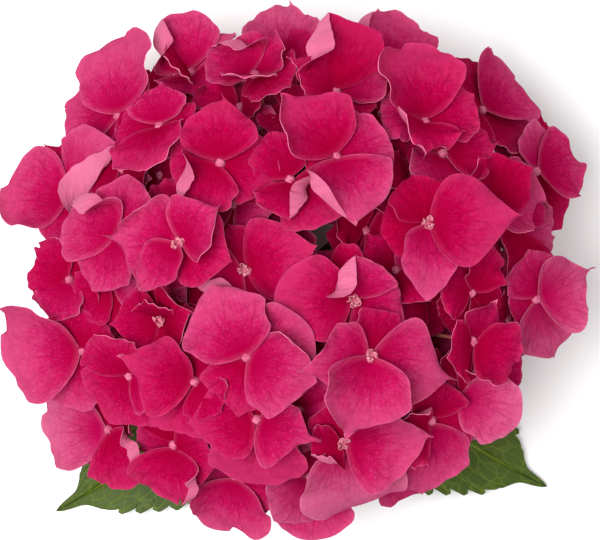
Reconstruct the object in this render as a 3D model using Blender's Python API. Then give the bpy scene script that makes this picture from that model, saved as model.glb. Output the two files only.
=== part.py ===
"""Cut flower head of a mophead hydrangea, lying face up on the flat cut of its short stem.

The stem carries two whorls of rays and one ray on its top, each ray carries one cluster of
florets, and two toothed leaves spread under the head. Lengths in the constants and tables
are millimetres and angles are degrees; the meshes are built in metres.
"""

import math
import random
from collections import namedtuple

import bmesh
import bpy
from mathutils import Matrix, Vector
from mathutils.bvhtree import BVHTree

MM = 0.001
SEED = 11
GAP = 0.3                         # between neighbouring solids, and over the table

# The head: florets stand on a dome round the stem's axis, drawn in underneath.
DOME_RIGHT, DOME_UP = 76, 68      # half widths of the dome, across and up
DOME_RISE, DOME_FALL = 50, 38     # its height over and under its widest level
DOME_FULLNESS = 2.3               # 2 is an ellipsoid, more is fuller at the shoulder
EQUATOR = 46                      # height of the widest level over the table
FACE_TILT = 52                    # how far a floret at the dome's edge leans outwards
FACE_TILT_POWER = 1.2             # how late, on the way out, that lean sets in
HUB_HEIGHT = 30                   # where the clusters' directions are counted from
WELL = (6.0, 10.5, 2.6)           # a gap kept open down to the table: across, up, radius
WELL_TOP, WELL_SIDES = 120, 8

# Stem and rays.
STEM_FOOT, STEM_TOP = 4.2, 2.9    # radii
STEM_HEIGHT = 41
STEM_SIDES = 12
JOINT_HEIGHT, JOINT_RADIUS = 9, 5     # the swelling where the two leaves sit
JOINT_REACH = 3                   # and how far it runs up and down the stem
RAY_BASE, RAY_TIP = 1.5, 1.0      # radii
RAY_SIDES = 5
RAY_SHARE = 0.54                  # how far along the way from the hub to the dome a ray goes
RAY_RISE, RAY_ARRIVE = 4, 10      # pulls on a ray's curve, at the stem and at its tip
INNER_RAYS, OUTER_RAYS = 5, 7
INNER_POLAR, OUTER_POLAR = 36, 80
INNER_TURN, OUTER_TURN = 100, 90  # direction of the first ray of each whorl
INNER_WHORL, OUTER_WHORL = 37.5, 30

# Florets.
PEDICEL_BASE, PEDICEL_TIP = 0.75, 0.6
PEDICEL_SIDES = 3
BUD_RADIUS = 1.55
CLUSTER_STEM = 6                  # from a ray's tip to the knot where its pedicels part
FORK_RADIUS = 2.2
FORK_DEPTH = 0.7                  # where a pedicel starts inside the fork, as a share of that
STEEP = 0.35                      # a floret whose axis rises less than this faces sideways
SIDEWAYS = 0.3                    # one that faces this nearly along X is turned from the vertical
SEPAL_WIDTH = 0.52                # half width as a share of a sepal's length
SEPAL_THICKNESS = 0.55
SEPAL_ROOT = 0.5                  # where a sepal starts, from the floret's axis
SHOULDER, TAPER = 0.75, 0.9       # powers of a sepal's outline at its root and tip
LAYER = 0.5                       # the upper pair's roots over the bud's middle, the lower's under
RINGS_IN = 0.88                   # draws the blade's cross-sections together, clear of its ends

# Leaves: each runs from its petiole at the stem to a tip near the table.
LEAF_THICKNESS = 0.9
LEAF_HALF_WIDTH = 27
LEAF_STEPS = 18                   # teeth along each margin
LEAF_SHOULDER, LEAF_FULLNESS = 0.8, 0.6   # powers: widest place, and roundness of the blade
LEAF_POINT, LEAF_DRAW, LEAF_SPIKE = 0.07, 0.12, 0.25  # its drawn-out tip: length, run-in, width
LEAF_RUN = 52                     # its tip's heading is kept for this far
LEAF_START, LEAF_ARRIVE = 0.33, 0.4       # pulls on its midrib's curve at both ends
LEAF_LIFT = 2                     # how much the petiole climbs as it leaves the stem
LEAF_TROUGH = 0.10                # how much the margins stand over the midrib, per width
TOOTH = 0.10                      # a tooth's depth as a share of the half width
TOOTH_LEAN = 0.5                  # how far its point leans to the leaf's tip, in half steps
PETIOLE = 14
PETIOLE_RADIUS = 1.7
SPINE_STEPS = 40                  # points that a midrib's curve is worked out at
WELD = 0.05                       # points of a blade's tip this near each other are one

PINK = (0.70, 0.03, 0.13)
STEM_GREEN = (0.25, 0.26, 0.10)
LEAF_GREEN = (0.08, 0.13, 0.02)

Floret = namedtuple("Floret", "x y lift sepals lean toward cup")
Sepal = namedtuple("Sepal", "length rise curl width upper")
Settled = namedtuple("Settled", "place axis placed path radii ball")

# The florets that face up, front ones first: place across and up, lift off the dome, each
# sepal's direction and length, lean and the direction that it leans towards, and cup.
FACE = (
    (-24, 32, 5, ((84, 21), (158, 17), (232, 18), (-8, 18)), 0, 0, 6),
    (-36, 8, 7, ((171, 24), (111, 10), (38, 18), (-20, 18), (234, 18)), 0, 0, 8),
    (-16, -26, 6, ((119, 24), (20, 21), (-20, 22), (261, 20)), 0, 0, 4),
    (11, 34, 6, ((130, 26), (8, 17), (-62, 23), (205, 10)), 0, 0, 8),
    (21, -25, 7, ((190, 23), (-22, 31), (254, 27), (48, 17)), 0, 0, 2),
    (38, 45, 6, ((112, 25), (26, 18), (258, 17), (168, 14)), 12, 180, 22),
    (38, 14, 5, ((-3, 28), (92, 11), (-93, 25), (190, 14)), 8, 180, 14),
    (-3, 27, 2, ((115, 18), (4, 16), (-62, 18), (198, 9)), 0, 0, 6),
    (-13, -45, 5, ((185, 22), (266, 28), (-20, 20), (100, 15)), 8, 90, 2),
    (-32, -34, 3, ((156, 24), (225, 25), (-45, 14), (50, 14)), 0, 0, 8),
    (44, 36, 1, ((6, 18), (258, 18), (110, 14), (180, 12)), 0, 0, 14),
    (13, -52, 4, ((4, 27), (-80, 31), (200, 10), (100, 14)), 10, 90, 6),
    (16, -9, 1, ((178, 24), (-28, 25), (88, 15), (250, 15)), 0, 0, 10),
    (-17, 0, 0, ((18, 24), (110, 14), (200, 16), (-70, 18)), 0, 0, 10),
    (-53, -33, 4, ((115, 21), (243, 23), (-25, 14), (180, 16)), 8, 0, 8),
    (-45, -16, 1, ((180, 15), (10, 17), (95, 13), (265, 13)), 0, 0, 40),
    (57, 50, 3, ((42, 24), (-25, 20), (125, 18), (215, 14)), 8, 225, 6),
    (57, 23, 1, ((35, 19), (-12, 21), (120, 14), (215, 14)), 0, 0, 14),
    (73, -9, 4, ((28, 23), (-68, 22), (100, 17), (195, 10)), 20, 180, 8),
    (-57, 48, 5, ((84, 28), (166, 25), (-5, 15), (255, 14)), 14, 315, 12),
    (-43, 44, 1, ((268, 21), (178, 16), (80, 14), (-20, 14)), 0, 0, 14),
    (-72, 22, 4, ((40, 27), (118, 24), (172, 23), (270, 16)), 8, 0, 16),
    (-55, 10, 3, ((140, 23), (85, 19), (245, 18), (-30, 13)), 0, 0, 8),
    (-67, -25, 4, ((174, 30), (232, 23), (90, 14), (-10, 14)), 20, 0, 6),
    (-71, -3, 1, ((132, 17), (205, 18), (260, 16), (30, 14)), 10, 0, 10),
    (11, 54, 3, ((103, 25), (30, 21), (160, 22), (-75, 14)), 6, 270, 18),
    (-34, 62, 4, ((115, 21), (38, 18), (205, 14), (-70, 15)), 14, 300, 34),
    (-14, 60, 1, ((155, 16), (55, 16), (255, 14), (-25, 15)), 4, 270, 28),
    (28, 60, 2, ((98, 25), (28, 20), (160, 17), (-70, 14)), 14, 270, 8),
    (-6, 66, -3, ((80, 21), (165, 18), (10, 16), (-90, 12)), 10, 270, 10),
    (-60, -50, 3, ((168, 26), (262, 22), (-50, 20), (75, 14)), 12, 45, 6),
    (-39, -54, 1, ((275, 21), (195, 16), (-10, 18), (90, 14)), 8, 60, 12),
    (-20, -64, 1, ((262, 23), (200, 20), (-20, 16), (90, 12)), 14, 90, 6),
    (3, -64, -2, ((280, 22), (-25, 18), (215, 20), (90, 12)), 12, 90, 10),
    (40, -46, 2, ((262, 27), (-35, 18), (190, 15), (80, 14)), 8, 135, 10),
    (48, -38, 0, ((-14, 24), (-75, 22), (30, 14), (170, 14)), 8, 150, 8),
    (53, -22, 1, ((-25, 19), (60, 14), (200, 15), (-100, 15)), 0, 0, 10),
    (72, 14, 2, ((-97, 31), (-10, 16), (80, 15), (170, 12)), 6, 180, 12),
    (74, 31, 2, ((12, 20), (-50, 24), (100, 16), (190, 12)), 14, 200, 10),
    (52, -7, -2, ((70, 15), (-20, 16), (160, 15), (250, 15)), 0, 0, 14),
    (29, 0, -7, ((40, 17), (130, 15), (-50, 17), (220, 15)), 0, 0, 22),
    (0, -42, -6, ((60, 16), (150, 15), (-30, 16), (240, 15)), 0, 0, 22),
    (-20, 20, -6, ((80, 14), (175, 15), (-10, 15), (265, 16)), 0, 0, 16),
    (57, -30, -3, ((-20, 14), (60, 13), (180, 14), (-95, 17)), 8, 160, 8),
    (70, 44, -3, ((25, 17), (62, 18), (190, 14), (-70, 15)), 10, 210, 8),
    (-56, 32, -6, ((20, 16), (100, 15), (190, 15), (280, 16)), 0, 0, 14),
    (-58, -5, -5, ((35, 16), (125, 14), (215, 15), (305, 16)), 0, 0, 12),
    (-4, 1, -8, ((10, 16), (95, 13), (190, 15), (280, 15)), 0, 0, 14),
    (26, 50, -6, ((10, 15), (100, 15), (190, 15), (280, 16)), 0, 0, 14),
    (34, 29, -6, ((30, 15), (120, 15), (210, 15), (300, 16)), 0, 0, 14),
    (-33, 57, -6, ((20, 15), (110, 14), (200, 15), (290, 15)), 0, 0, 14),
    (-51, 54, -5, ((15, 15), (105, 15), (195, 15), (285, 15)), 0, 0, 12),
    (66, -16, -5, ((0, 15), (90, 15), (180, 15), (270, 15)), 0, 0, 12),
    (20, 12, -14, ((330, 16), (60, 15), (150, 12), (240, 15)), 0, 0, 14),
    (-19, 52, -7, ((10, 15), (100, 14), (190, 15), (280, 15)), 0, 0, 10),
    (-31, 20, -10, ((30, 15), (120, 15), (210, 15), (300, 15)), 0, 0, 10),
    (-45, -2, -10, ((45, 14), (135, 14), (225, 14), (315, 14)), 0, 0, 10),
)

# Smaller florets deeper in the dome, which close it where the front ones leave room.
UNDER_COUNT, UNDER_LIFT, UNDER_LENGTH, UNDER_CUP = 12, -11, 22, 8
UNDER_TURN = 31                   # how much each one is turned from the one before
GOLDEN_ANGLE = 137.5

# The florets under the dome's widest level, ring by ring: height over the table, number,
# tilt away from straight up, and sepal length.
SKIRT = (
    (30, 12, 96, 19),
    (15, 7, 112, 17),
)
SKIRT_CUP = 8


# ---------------------------------------------------------------- scene and materials

def clear_scene():
    for scene_object in list(bpy.data.objects):
        bpy.data.objects.remove(scene_object, do_unlink=True)


def material(name, color, roughness):
    made = bpy.data.materials.new(name)
    made.use_nodes = True
    shader = made.node_tree.nodes["Principled BSDF"]
    shader.inputs["Base Color"].default_value = (*color, 1)
    shader.inputs["Roughness"].default_value = roughness
    shader.inputs["Metallic"].default_value = 0.0
    return made


def add_object(name, bm, finish, collection=None):
    """Make a named object from a bmesh whose coordinates are millimetres."""
    bmesh.ops.scale(bm, vec=(MM, MM, MM), verts=bm.verts)
    mesh = bpy.data.meshes.new(name)
    bm.to_mesh(mesh)
    bm.free()
    mesh.materials.append(finish)
    made = bpy.data.objects.new(name, mesh)
    (collection or bpy.context.scene.collection).objects.link(made)
    return made


# ---------------------------------------------------------------- the dome

def dome_place(x, y, lift):
    """The place over the dome at x, y, and the share of its half width that it is out."""
    share = min(1.0, math.hypot(x / DOME_RIGHT, y / DOME_UP))
    height = EQUATOR + DOME_RISE * math.sqrt(1 - share ** DOME_FULLNESS)
    return Vector((x, y, height + lift)), share


def leaning(polar, turn):
    """The unit vector that leans polar degrees from straight up towards turn."""
    polar, turn = math.radians(polar), math.radians(turn)
    return Vector((math.sin(polar) * math.cos(turn), math.sin(polar) * math.sin(turn), math.cos(polar)))


def dome_reach(direction):
    """How far the dome's skin is from the hub in a direction, found by stepping outwards."""
    hub = Vector((0, 0, HUB_HEIGHT))
    reach = 0.0
    while True:
        place = hub + direction * reach
        half_height = DOME_RISE if place.z > EQUATOR else DOME_FALL
        out = math.hypot(place.x / DOME_RIGHT, place.y / DOME_UP) ** DOME_FULLNESS
        if out + (abs(place.z - EQUATOR) / half_height) ** 2 >= 1:
            return reach
        reach += 0.5


def outward(x, y, share):
    """The way that a floret over x, y faces: up on the crown, and leaning out near the edge."""
    return leaning(FACE_TILT * share ** FACE_TILT_POWER, math.degrees(math.atan2(y, x)))


def even_sepals(first, length):
    return tuple((first + quarter * 90, length) for quarter in range(4))


def under_florets():
    """The deeper florets, spaced over the dome as seeds are on a sunflower."""
    for number in range(UNDER_COUNT):
        turn = math.radians(number * GOLDEN_ANGLE)
        out = math.sqrt((number + 0.5) / UNDER_COUNT)
        x, y = DOME_RIGHT * out * math.cos(turn), DOME_UP * out * math.sin(turn)
        place, share = dome_place(x, y, UNDER_LIFT)
        yield place, outward(x, y, share), even_sepals(number * UNDER_TURN, UNDER_LENGTH), UNDER_CUP


def skirt_florets():
    """The hidden florets, spaced evenly round each ring and turned by the golden angle."""
    for ring, (height, count, tilt, length) in enumerate(SKIRT):
        drawn_in = math.sqrt(1 - ((EQUATOR - height) / DOME_FALL) ** 2)
        for number in range(count):
            turn = 360 * (number + ring / 2) / count
            x = DOME_RIGHT * drawn_in * math.cos(math.radians(turn))
            y = DOME_UP * drawn_in * math.sin(math.radians(turn))
            sepals = even_sepals(GOLDEN_ANGLE * number, length)
            yield Vector((x, y, height)), leaning(tilt, turn), sepals, SKIRT_CUP


# ---------------------------------------------------------------- shapes

def limb(path, radii, sides, ends=None):
    """A closed tapering limb: a capped circle pushed along a path of points.

    ends gives the directions that its foot and its top face along, where they matter.
    """
    bm = bmesh.new()
    spine = [Vector(point) for point in path]
    headings = [spine[1] - spine[0]]
    headings += [after - before for before, after in zip(spine, spine[2:])]
    headings.append(spine[-1] - spine[-2])
    if ends:
        headings[0], headings[-1] = ends
    headings = [heading.normalized() for heading in headings]
    turn = headings[0].to_track_quat("Z", "Y")
    matrix = Matrix.LocRotScale(spine[0], turn, None)
    made = bmesh.ops.create_circle(bm, cap_ends=True, segments=sides, radius=radii[0], matrix=matrix)
    foot = list({face for vert in made["verts"] for face in vert.link_faces})
    top = foot
    for number in range(1, len(spine)):
        pushed = bmesh.ops.extrude_face_region(bm, geom=top)
        if number > 1:
            bmesh.ops.delete(bm, geom=top, context="FACES_ONLY")
        ring = [item for item in pushed["geom"] if isinstance(item, bmesh.types.BMVert)]
        swing = headings[number - 1].rotation_difference(headings[number])
        scale = radii[number] / radii[number - 1]
        for vert in ring:
            vert.co = spine[number] + swing @ (vert.co - spine[number - 1]) * scale
        top = [item for item in pushed["geom"] if isinstance(item, bmesh.types.BMFace)]
    bmesh.ops.recalc_face_normals(bm, faces=bm.faces)
    return bm


def bend(start, out, end, arrive, steps):
    """Points on the curve from start, leaving along out, to end, arriving along arrive."""
    points = []
    for number in range(steps + 1):
        t = number / steps
        a, b, c, d = (1 - t) ** 3, 3 * t * (1 - t) ** 2, 3 * t * t * (1 - t), t ** 3
        points.append(start * a + (start + out) * b + (end - arrive) * c + end * d)
    return points


def ball_template(bands):
    """Vertices and faces of a ball with three sides, which a sepal is pressed from."""
    bm = bmesh.new()
    bmesh.ops.create_uvsphere(bm, u_segments=3, v_segments=bands, radius=1)
    bmesh.ops.triangulate(bm, faces=bm.faces)
    bm.verts.ensure_lookup_table()
    verts = [vert.co.copy() for vert in bm.verts]
    faces = [[vert.index for vert in face.verts] for face in bm.faces]
    bm.free()
    return verts, faces


FRONT_BALL, BACK_BALL = ball_template(4), ball_template(3)
WIDEST = SHOULDER / (SHOULDER + TAPER)
OUTLINE_PEAK = WIDEST ** SHOULDER * (1 - WIDEST) ** TAPER


def sepal_outline(along):
    """Half width at a place along the midrib, 1 at the widest."""
    return max(0.0, along) ** SHOULDER * max(0.0, 1 - along) ** TAPER / OUTLINE_PEAK


def midrib(sepal, along):
    """Out and up from the root: an arc that starts at the rise and bends by the curl."""
    start = math.radians(sepal.rise)
    bow = math.radians(sepal.curl)
    if abs(bow) < 0.01:
        out, up = along * math.cos(start), along * math.sin(start)
    else:
        out = (math.sin(start + bow * along) - math.sin(start)) / bow
        up = (math.cos(start) - math.cos(start + bow * along)) / bow
    return out * sepal.length, up * sepal.length, start + bow * along


def sepal_coords(sepal, matrix, ball, extra=0.0):
    """The pressed ball's vertices in place; extra thickens and widens it for trial fits."""
    coords = []
    for vert in ball[0]:
        along = (1 - vert.z) / 2
        pole = math.hypot(vert.x, vert.y) < 0.01
        if not pole:
            along = 0.5 + (along - 0.5) * RINGS_IN
        across = 0 if pole or abs(vert.x) < 0.01 else math.copysign(1, vert.x)
        over = 0 if pole else (0.5 if across else -0.5)
        out, up, heading = midrib(sepal, along)
        half = sepal.length * sepal.width * sepal_outline(along) + extra / 2
        lift = over * (SEPAL_THICKNESS + extra)
        local = Vector((
            SEPAL_ROOT + out - lift * math.sin(heading),
            across * half,
            up + lift * math.cos(heading) + (LAYER if sepal.upper else -LAYER),
        ))
        coords.append(matrix @ local)
    return coords


# ---------------------------------------------------------------- growing without touching

class Space:
    """What is already in place, as trees of triangles to test a new piece against."""

    def __init__(self):
        self.trees = []

    def add(self, coords, faces, root=None):
        """Put a piece in place; root names the cluster whose fork it grows from."""
        tree = BVHTree.FromPolygons(coords, faces)
        low = Vector([min(c[axis] for c in coords) for axis in range(3)])
        high = Vector([max(c[axis] for c in coords) for axis in range(3)])
        self.trees.append((tree, low, high, root))

    def free(self, coords, faces, root=None):
        """Whether a piece touches nothing, its own cluster's fork and pedicels apart."""
        low = Vector([min(c[axis] for c in coords) for axis in range(3)])
        if low.z < GAP:
            return False
        high = Vector([max(c[axis] for c in coords) for axis in range(3)])
        tree = None
        for other, other_low, other_high, other_root in self.trees:
            if root and root == other_root:
                continue
            if any(low[a] > other_high[a] or high[a] < other_low[a] for a in range(3)):
                continue
            tree = tree or BVHTree.FromPolygons(coords, faces)
            if tree.overlap(other):
                return False
        return True


def bmesh_arrays(bm):
    bm.verts.index_update()
    coords = [vert.co.copy() for vert in bm.verts]
    return coords, [[vert.index for vert in face.verts] for face in bm.faces]


# What is tried, in this order, until a floret fits: sinking it along its axis, raising or
# drooping a sepal, shortening the sepal, and bending the pedicel aside.
SINKS = [0, 1.5, 3, 4.5, 6, 8, 10, 12, 14]
RISES = [0, 5, 10, 16, 24, -6, -12, 34, 46]
SIZES = [1, 0.88, 0.76]
SWERVES, SWERVE_STEP, SWERVE_SHARE = 7, 60, 0.25
PEDICEL_PULL = 0.4                # pull on a pedicel's curve, as a share of its length
SPREAD = 4                        # how much more the upper pair rises than the lower pair
RISE_SCATTER, CURL_SCATTER = 3, 20    # how much sepals differ in their rise and droop
WIDTH_LEAST, WIDTH_SCATTER = 0.93, 0.12   # and in their width
CLEARANCE = 0.7                   # how much thicker a sepal is while it is tried
# What each change costs: per degree of rise, per share of length, per sepal left out, per
# millimetre of sinking. A place that costs less than the last figure is taken at once.
RISE_COST, SIZE_COST, MISSING_COST, SINK_COST, CHEAP = 1 / 40, 4, 5, 1 / 12, 0.8


def facing(axis):
    """Axes with the floret's own up along axis, and its zero turn towards +X of the head."""
    right = Vector((1, 0, 0)) - axis * axis.x
    if right.length < SIDEWAYS:
        right = Vector((0, 0, -1)) + axis * axis.z
    right.normalize()
    ahead = axis.cross(right)
    return Matrix((right, ahead, axis)).transposed().to_4x4()


def sepal_matrix(place, axis, turn):
    """The frame of one sepal: its X runs out along turn, as seen from straight above."""
    flat = leaning(90, turn)
    if axis.z > STEEP:
        slope = -(flat.x * axis.x + flat.y * axis.y) / axis.z
        outward_turn = Vector((flat.x, flat.y, slope)).normalized()
    else:
        outward_turn = facing(axis).to_3x3() @ flat
    across = axis.cross(outward_turn)
    matrix = Matrix((outward_turn, across, axis)).transposed().to_4x4()
    matrix.translation = place
    return matrix


def settle_pedicel(space, place, axis, cluster):
    """The path and radii of a pedicel that keeps clear of other clusters, or None."""
    hub = cluster["hub"]
    base = place - axis * BUD_RADIUS
    way = base - hub
    start = hub + way.normalized() * FORK_RADIUS * FORK_DEPTH
    radii = [PEDICEL_BASE, PEDICEL_TIP, PEDICEL_TIP, BUD_RADIUS]
    for swerve in range(SWERVES):
        out = way * PEDICEL_PULL
        if swerve:
            out = out + leaning(90, swerve * SWERVE_STEP) * SWERVE_SHARE * way.length
        path = bend(start, out, base, axis * PEDICEL_PULL * way.length, 2)
        path.append(place + axis * BUD_RADIUS)
        bm = limb(path, [radius + CLEARANCE / 2 for radius in radii], PEDICEL_SIDES)
        coords, faces = bmesh_arrays(bm)
        bm.free()
        if space.free(coords, faces, cluster["name"]):
            return path, radii
    return None


def settle_sepal(space, matrix, length, cup, upper, dice, ball):
    """A sepal that lies clear of what is in place, or None, and what its changes cost."""
    rise_scatter, curl_scatter, width_scatter = [dice.random() for _ in range(3)]
    away = 1 if upper else -1
    width = SEPAL_WIDTH * (WIDTH_LEAST + width_scatter * WIDTH_SCATTER)
    for size in SIZES:
        for rise in RISES:
            angle = cup + away * (SPREAD / 2 + rise_scatter * RISE_SCATTER + rise)
            sepal = Sepal(length * size, angle, -curl_scatter * CURL_SCATTER, width, upper)
            if space.free(sepal_coords(sepal, matrix, ball, CLEARANCE), ball[1]):
                return sepal, abs(rise) * RISE_COST + (1 - size) * SIZE_COST
    return None, MISSING_COST


def try_floret(space, place, axis, sepals, cup, cluster, number, ball):
    """A floret at a place and what it costs there, or None if its pedicel has no way to it."""
    dice = random.Random(SEED * 1000 + number)
    pedicel = settle_pedicel(space, place, axis, cluster)
    if pedicel is None:
        return None, 0
    placed, total = [], 0.0
    for order, (turn, length) in enumerate(sepals):
        matrix = sepal_matrix(place, axis, turn)
        upper = order % 2 == 0
        sepal, cost = settle_sepal(space, matrix, length, cup, upper, dice, ball)
        total += cost
        if sepal:
            placed.append((sepal, matrix))
    return Settled(place, axis, placed, *pedicel, ball), total


def settle(space, place, axis, sepals, cup, cluster, number, ball):
    """Sink a floret along its axis until its sepals lie clear of what is in place."""
    best, best_cost = None, math.inf
    for sink in SINKS:
        at = place - axis * sink
        trial, cost = try_floret(space, at, axis, sepals, cup, cluster, number, ball)
        cost += sink * SINK_COST
        if trial and cost < best_cost:
            best, best_cost = trial, cost
        if trial and cost < CHEAP:
            break
    return best


# ---------------------------------------------------------------- limbs and leaves

def stem_radius(height):
    return STEM_FOOT + (STEM_TOP - STEM_FOOT) * height / STEM_HEIGHT


def stem():
    """The stem, straight up from its cut foot, with the joint that carries the leaves."""
    low, high = JOINT_HEIGHT - JOINT_REACH, JOINT_HEIGHT + JOINT_REACH
    heights = [0, low, JOINT_HEIGHT, high, OUTER_WHORL, STEM_HEIGHT]
    radii = [stem_radius(height) for height in heights]
    radii[2] = JOINT_RADIUS
    return limb([(0, 0, height) for height in heights], radii, STEM_SIDES)


def ray_names():
    """Each ray's name with its polar angle, its turn and its whorl's height."""
    yield "top", 0, 0, STEM_HEIGHT
    for number in range(INNER_RAYS):
        yield f"inner_{number + 1}", INNER_POLAR, INNER_TURN + number * 360 / INNER_RAYS, INNER_WHORL
    for number in range(OUTER_RAYS):
        yield f"outer_{number + 1}", OUTER_POLAR, OUTER_TURN + number * 360 / OUTER_RAYS, OUTER_WHORL


def ray_path(polar, turn, whorl):
    """A ray's path, and the directions that it leaves the stem and reaches its tip along."""
    direction = leaning(polar, turn)
    tip = Vector((0, 0, HUB_HEIGHT)) + direction * dome_reach(direction) * RAY_SHARE
    if polar == 0:
        start = Vector((0, 0, STEM_HEIGHT + GAP))
        return [start, (start + tip) / 2, tip], direction, direction
    out = leaning(90, turn)
    start = Vector((0, 0, whorl)) + out * (stem_radius(whorl) + GAP)
    return bend(start, out * RAY_RISE, tip, direction * RAY_ARRIVE, 3), out, direction


def leaf_outline(blade):
    """Half width of a leaf's blade, 1 at the widest: broad, then drawn out to a long tip."""
    body = max(0.0, math.sin(math.pi * min(1.0, blade) ** LEAF_SHOULDER)) ** LEAF_FULLNESS
    ramp = min(1.0, max(0.0, (1 - blade - LEAF_POINT) / LEAF_DRAW))
    return body * (LEAF_SPIKE + (1 - LEAF_SPIKE) * ramp * ramp * (3 - 2 * ramp))


def leaf_frame(spine, along):
    """The midrib's place at a share of its way, and the level direction across it."""
    at = along * (len(spine) - 1)
    low = min(int(at), len(spine) - 2)
    centre = spine[low].lerp(spine[low + 1], at - low)
    heading = spine[low + 1] - spine[low]
    across = Vector((-heading.y, heading.x, 0)).normalized()
    return centre, across


def leaf(tip, heading):
    """A toothed leaf: petiole out of the stem, blade curving to a tip that points along heading."""
    tip = Vector(tip)
    out = Vector(heading).normalized()
    before = tip - out * LEAF_RUN
    start_turn = Vector((before.x, before.y, 0)).normalized()
    start = Vector((0, 0, JOINT_HEIGHT)) + start_turn * (JOINT_RADIUS + GAP)
    reach = (tip - start).length
    climb = start_turn * reach * LEAF_START + Vector((0, 0, LEAF_LIFT))
    spine = bend(start, climb, tip, out * reach * LEAF_ARRIVE, SPINE_STEPS)

    bm = bmesh.new()
    rows = LEAF_STEPS * 2
    bmesh.ops.create_grid(bm, x_segments=rows, y_segments=2, size=1)
    for vert in bm.verts:
        along = (vert.co.x + 1) / 2
        row = round(along * rows)
        side = vert.co.y
        centre, across = leaf_frame(spine, along)
        blade = max(0.0, (along * reach - PETIOLE) / (reach - PETIOLE))
        half = max(PETIOLE_RADIUS * (1 - blade), leaf_outline(blade) * LEAF_HALF_WIDTH)
        if row % 2 and abs(side) > 0.5 and 0 < blade < 1:
            half *= 1 + TOOTH
            centre = leaf_frame(spine, along + TOOTH_LEAN / rows)[0]
        vert.co = centre + across * side * half
        vert.co.z += abs(side) * half * LEAF_TROUGH
    bmesh.ops.remove_doubles(bm, verts=bm.verts, dist=WELD)
    bmesh.ops.recalc_face_normals(bm, faces=bm.faces)
    bmesh.ops.solidify(bm, geom=list(bm.faces), thickness=LEAF_THICKNESS)
    bmesh.ops.recalc_face_normals(bm, faces=bm.faces)
    bmesh.ops.triangulate(bm, faces=bm.faces)
    return bm


LEAVES = {
    "leaf_left": ((-80, -79, 1.5), (-0.88, -0.47, 0)),
    "leaf_right": ((81, -71, 1.5), (0.90, -0.43, 0)),
}


# ---------------------------------------------------------------- clusters

def fork(hub):
    """The knot at a cluster's middle that its pedicels grow from."""
    bm = bmesh.new()
    matrix = Matrix.Translation(hub)
    bmesh.ops.create_uvsphere(bm, u_segments=6, v_segments=4, radius=FORK_RADIUS, matrix=matrix)
    return bm


def keep_largest_shell(mesh):
    """Fill the sealed hollows of a fused mesh and drop its loose scraps."""
    bm = bmesh.new()
    bm.from_mesh(mesh)
    bmesh.ops.triangulate(bm, faces=bm.faces)
    shells = []
    unseen = set(bm.faces)
    while unseen:
        shell, edge = set(), [unseen.pop()]
        while edge:
            face = edge.pop()
            shell.add(face)
            near = {other for side in face.edges for other in side.link_faces} & unseen
            unseen -= near
            edge.extend(near)
        shells.append(shell)
    largest = max(shells, key=len)
    spare = {vert for shell in shells if shell is not largest for face in shell for vert in face.verts}
    bmesh.ops.delete(bm, geom=list(spare), context="VERTS")
    bm.to_mesh(mesh)
    bm.free()


def fuse(name, pieces, finish):
    """Join a cluster's pieces into one closed solid with one Boolean union."""
    collection = bpy.data.collections.new(name)
    bpy.context.scene.collection.children.link(collection)
    base = add_object(name, pieces[0], finish)
    for number, piece in enumerate(pieces[1:]):
        add_object(f"{name}_{number}", piece, finish, collection)
    union = base.modifiers.new("union", "BOOLEAN")
    union.operation = "UNION"
    union.operand_type = "COLLECTION"
    union.collection = collection
    union.solver = "EXACT"
    graph = bpy.context.evaluated_depsgraph_get()
    fused = bpy.data.meshes.new_from_object(base.evaluated_get(graph))
    base.modifiers.clear()
    keep_largest_shell(fused)
    base.data = fused
    for operand in list(collection.objects):
        bpy.data.objects.remove(operand, do_unlink=True)
    bpy.data.collections.remove(collection)
    return base


def grow():
    """Settle every floret, and return the fixed limbs and each cluster's florets."""
    space = Space()
    well_x, well_y, well_radius = WELL
    well = limb([(well_x, well_y, 0), (well_x, well_y, WELL_TOP)], [well_radius] * 2, WELL_SIDES)
    space.add(*bmesh_arrays(well))
    well.free()
    limbs = {"stem": stem()}
    for name, (tip, heading) in LEAVES.items():
        limbs[name] = leaf(tip, heading)
    clusters = {}
    for name, polar, turn, whorl in ray_names():
        path, out, direction = ray_path(polar, turn, whorl)
        radii = [RAY_BASE + (RAY_TIP - RAY_BASE) * n / (len(path) - 1) for n in range(len(path))]
        limbs[f"ray_{name}"] = limb(path, radii, RAY_SIDES, (out, direction))
        foot = path[-1] + direction * GAP
        hub = foot + direction * CLUSTER_STEM
        clusters[name] = {"name": name, "foot": foot, "hub": hub, "direction": direction, "florets": []}
    for shape in limbs.values():
        space.add(*bmesh_arrays(shape))
    for name, cluster in clusters.items():
        for piece in neck_and_fork(cluster):
            space.add(*bmesh_arrays(piece), root=name)
            piece.free()

    seats = []
    for row in FACE:
        floret = Floret(*row)
        place, share = dome_place(floret.x, floret.y, floret.lift)
        axis = outward(floret.x, floret.y, share)
        axis = (axis + leaning(90, floret.toward) * math.tan(math.radians(floret.lean))).normalized()
        seats.append((place, axis, floret.sepals, floret.cup))
    seats.extend(under_florets())
    seats.extend(skirt_florets())
    for number, (place, axis, sepals, cup) in enumerate(seats):
        way = (place - Vector((0, 0, HUB_HEIGHT))).normalized()
        cluster = max(clusters.values(), key=lambda item: item["direction"].dot(way))
        ball = FRONT_BALL if number < len(FACE) else BACK_BALL
        settled = settle(space, place, axis, sepals, cup, cluster, number, ball)
        if settled is None:
            continue
        for sepal, matrix in settled.placed:
            space.add(sepal_coords(sepal, matrix, ball), ball[1])
        pedicel = limb(settled.path, settled.radii, PEDICEL_SIDES)
        space.add(*bmesh_arrays(pedicel), root=cluster["name"])
        pedicel.free()
        cluster["florets"].append(settled)
    return limbs, clusters


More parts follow.
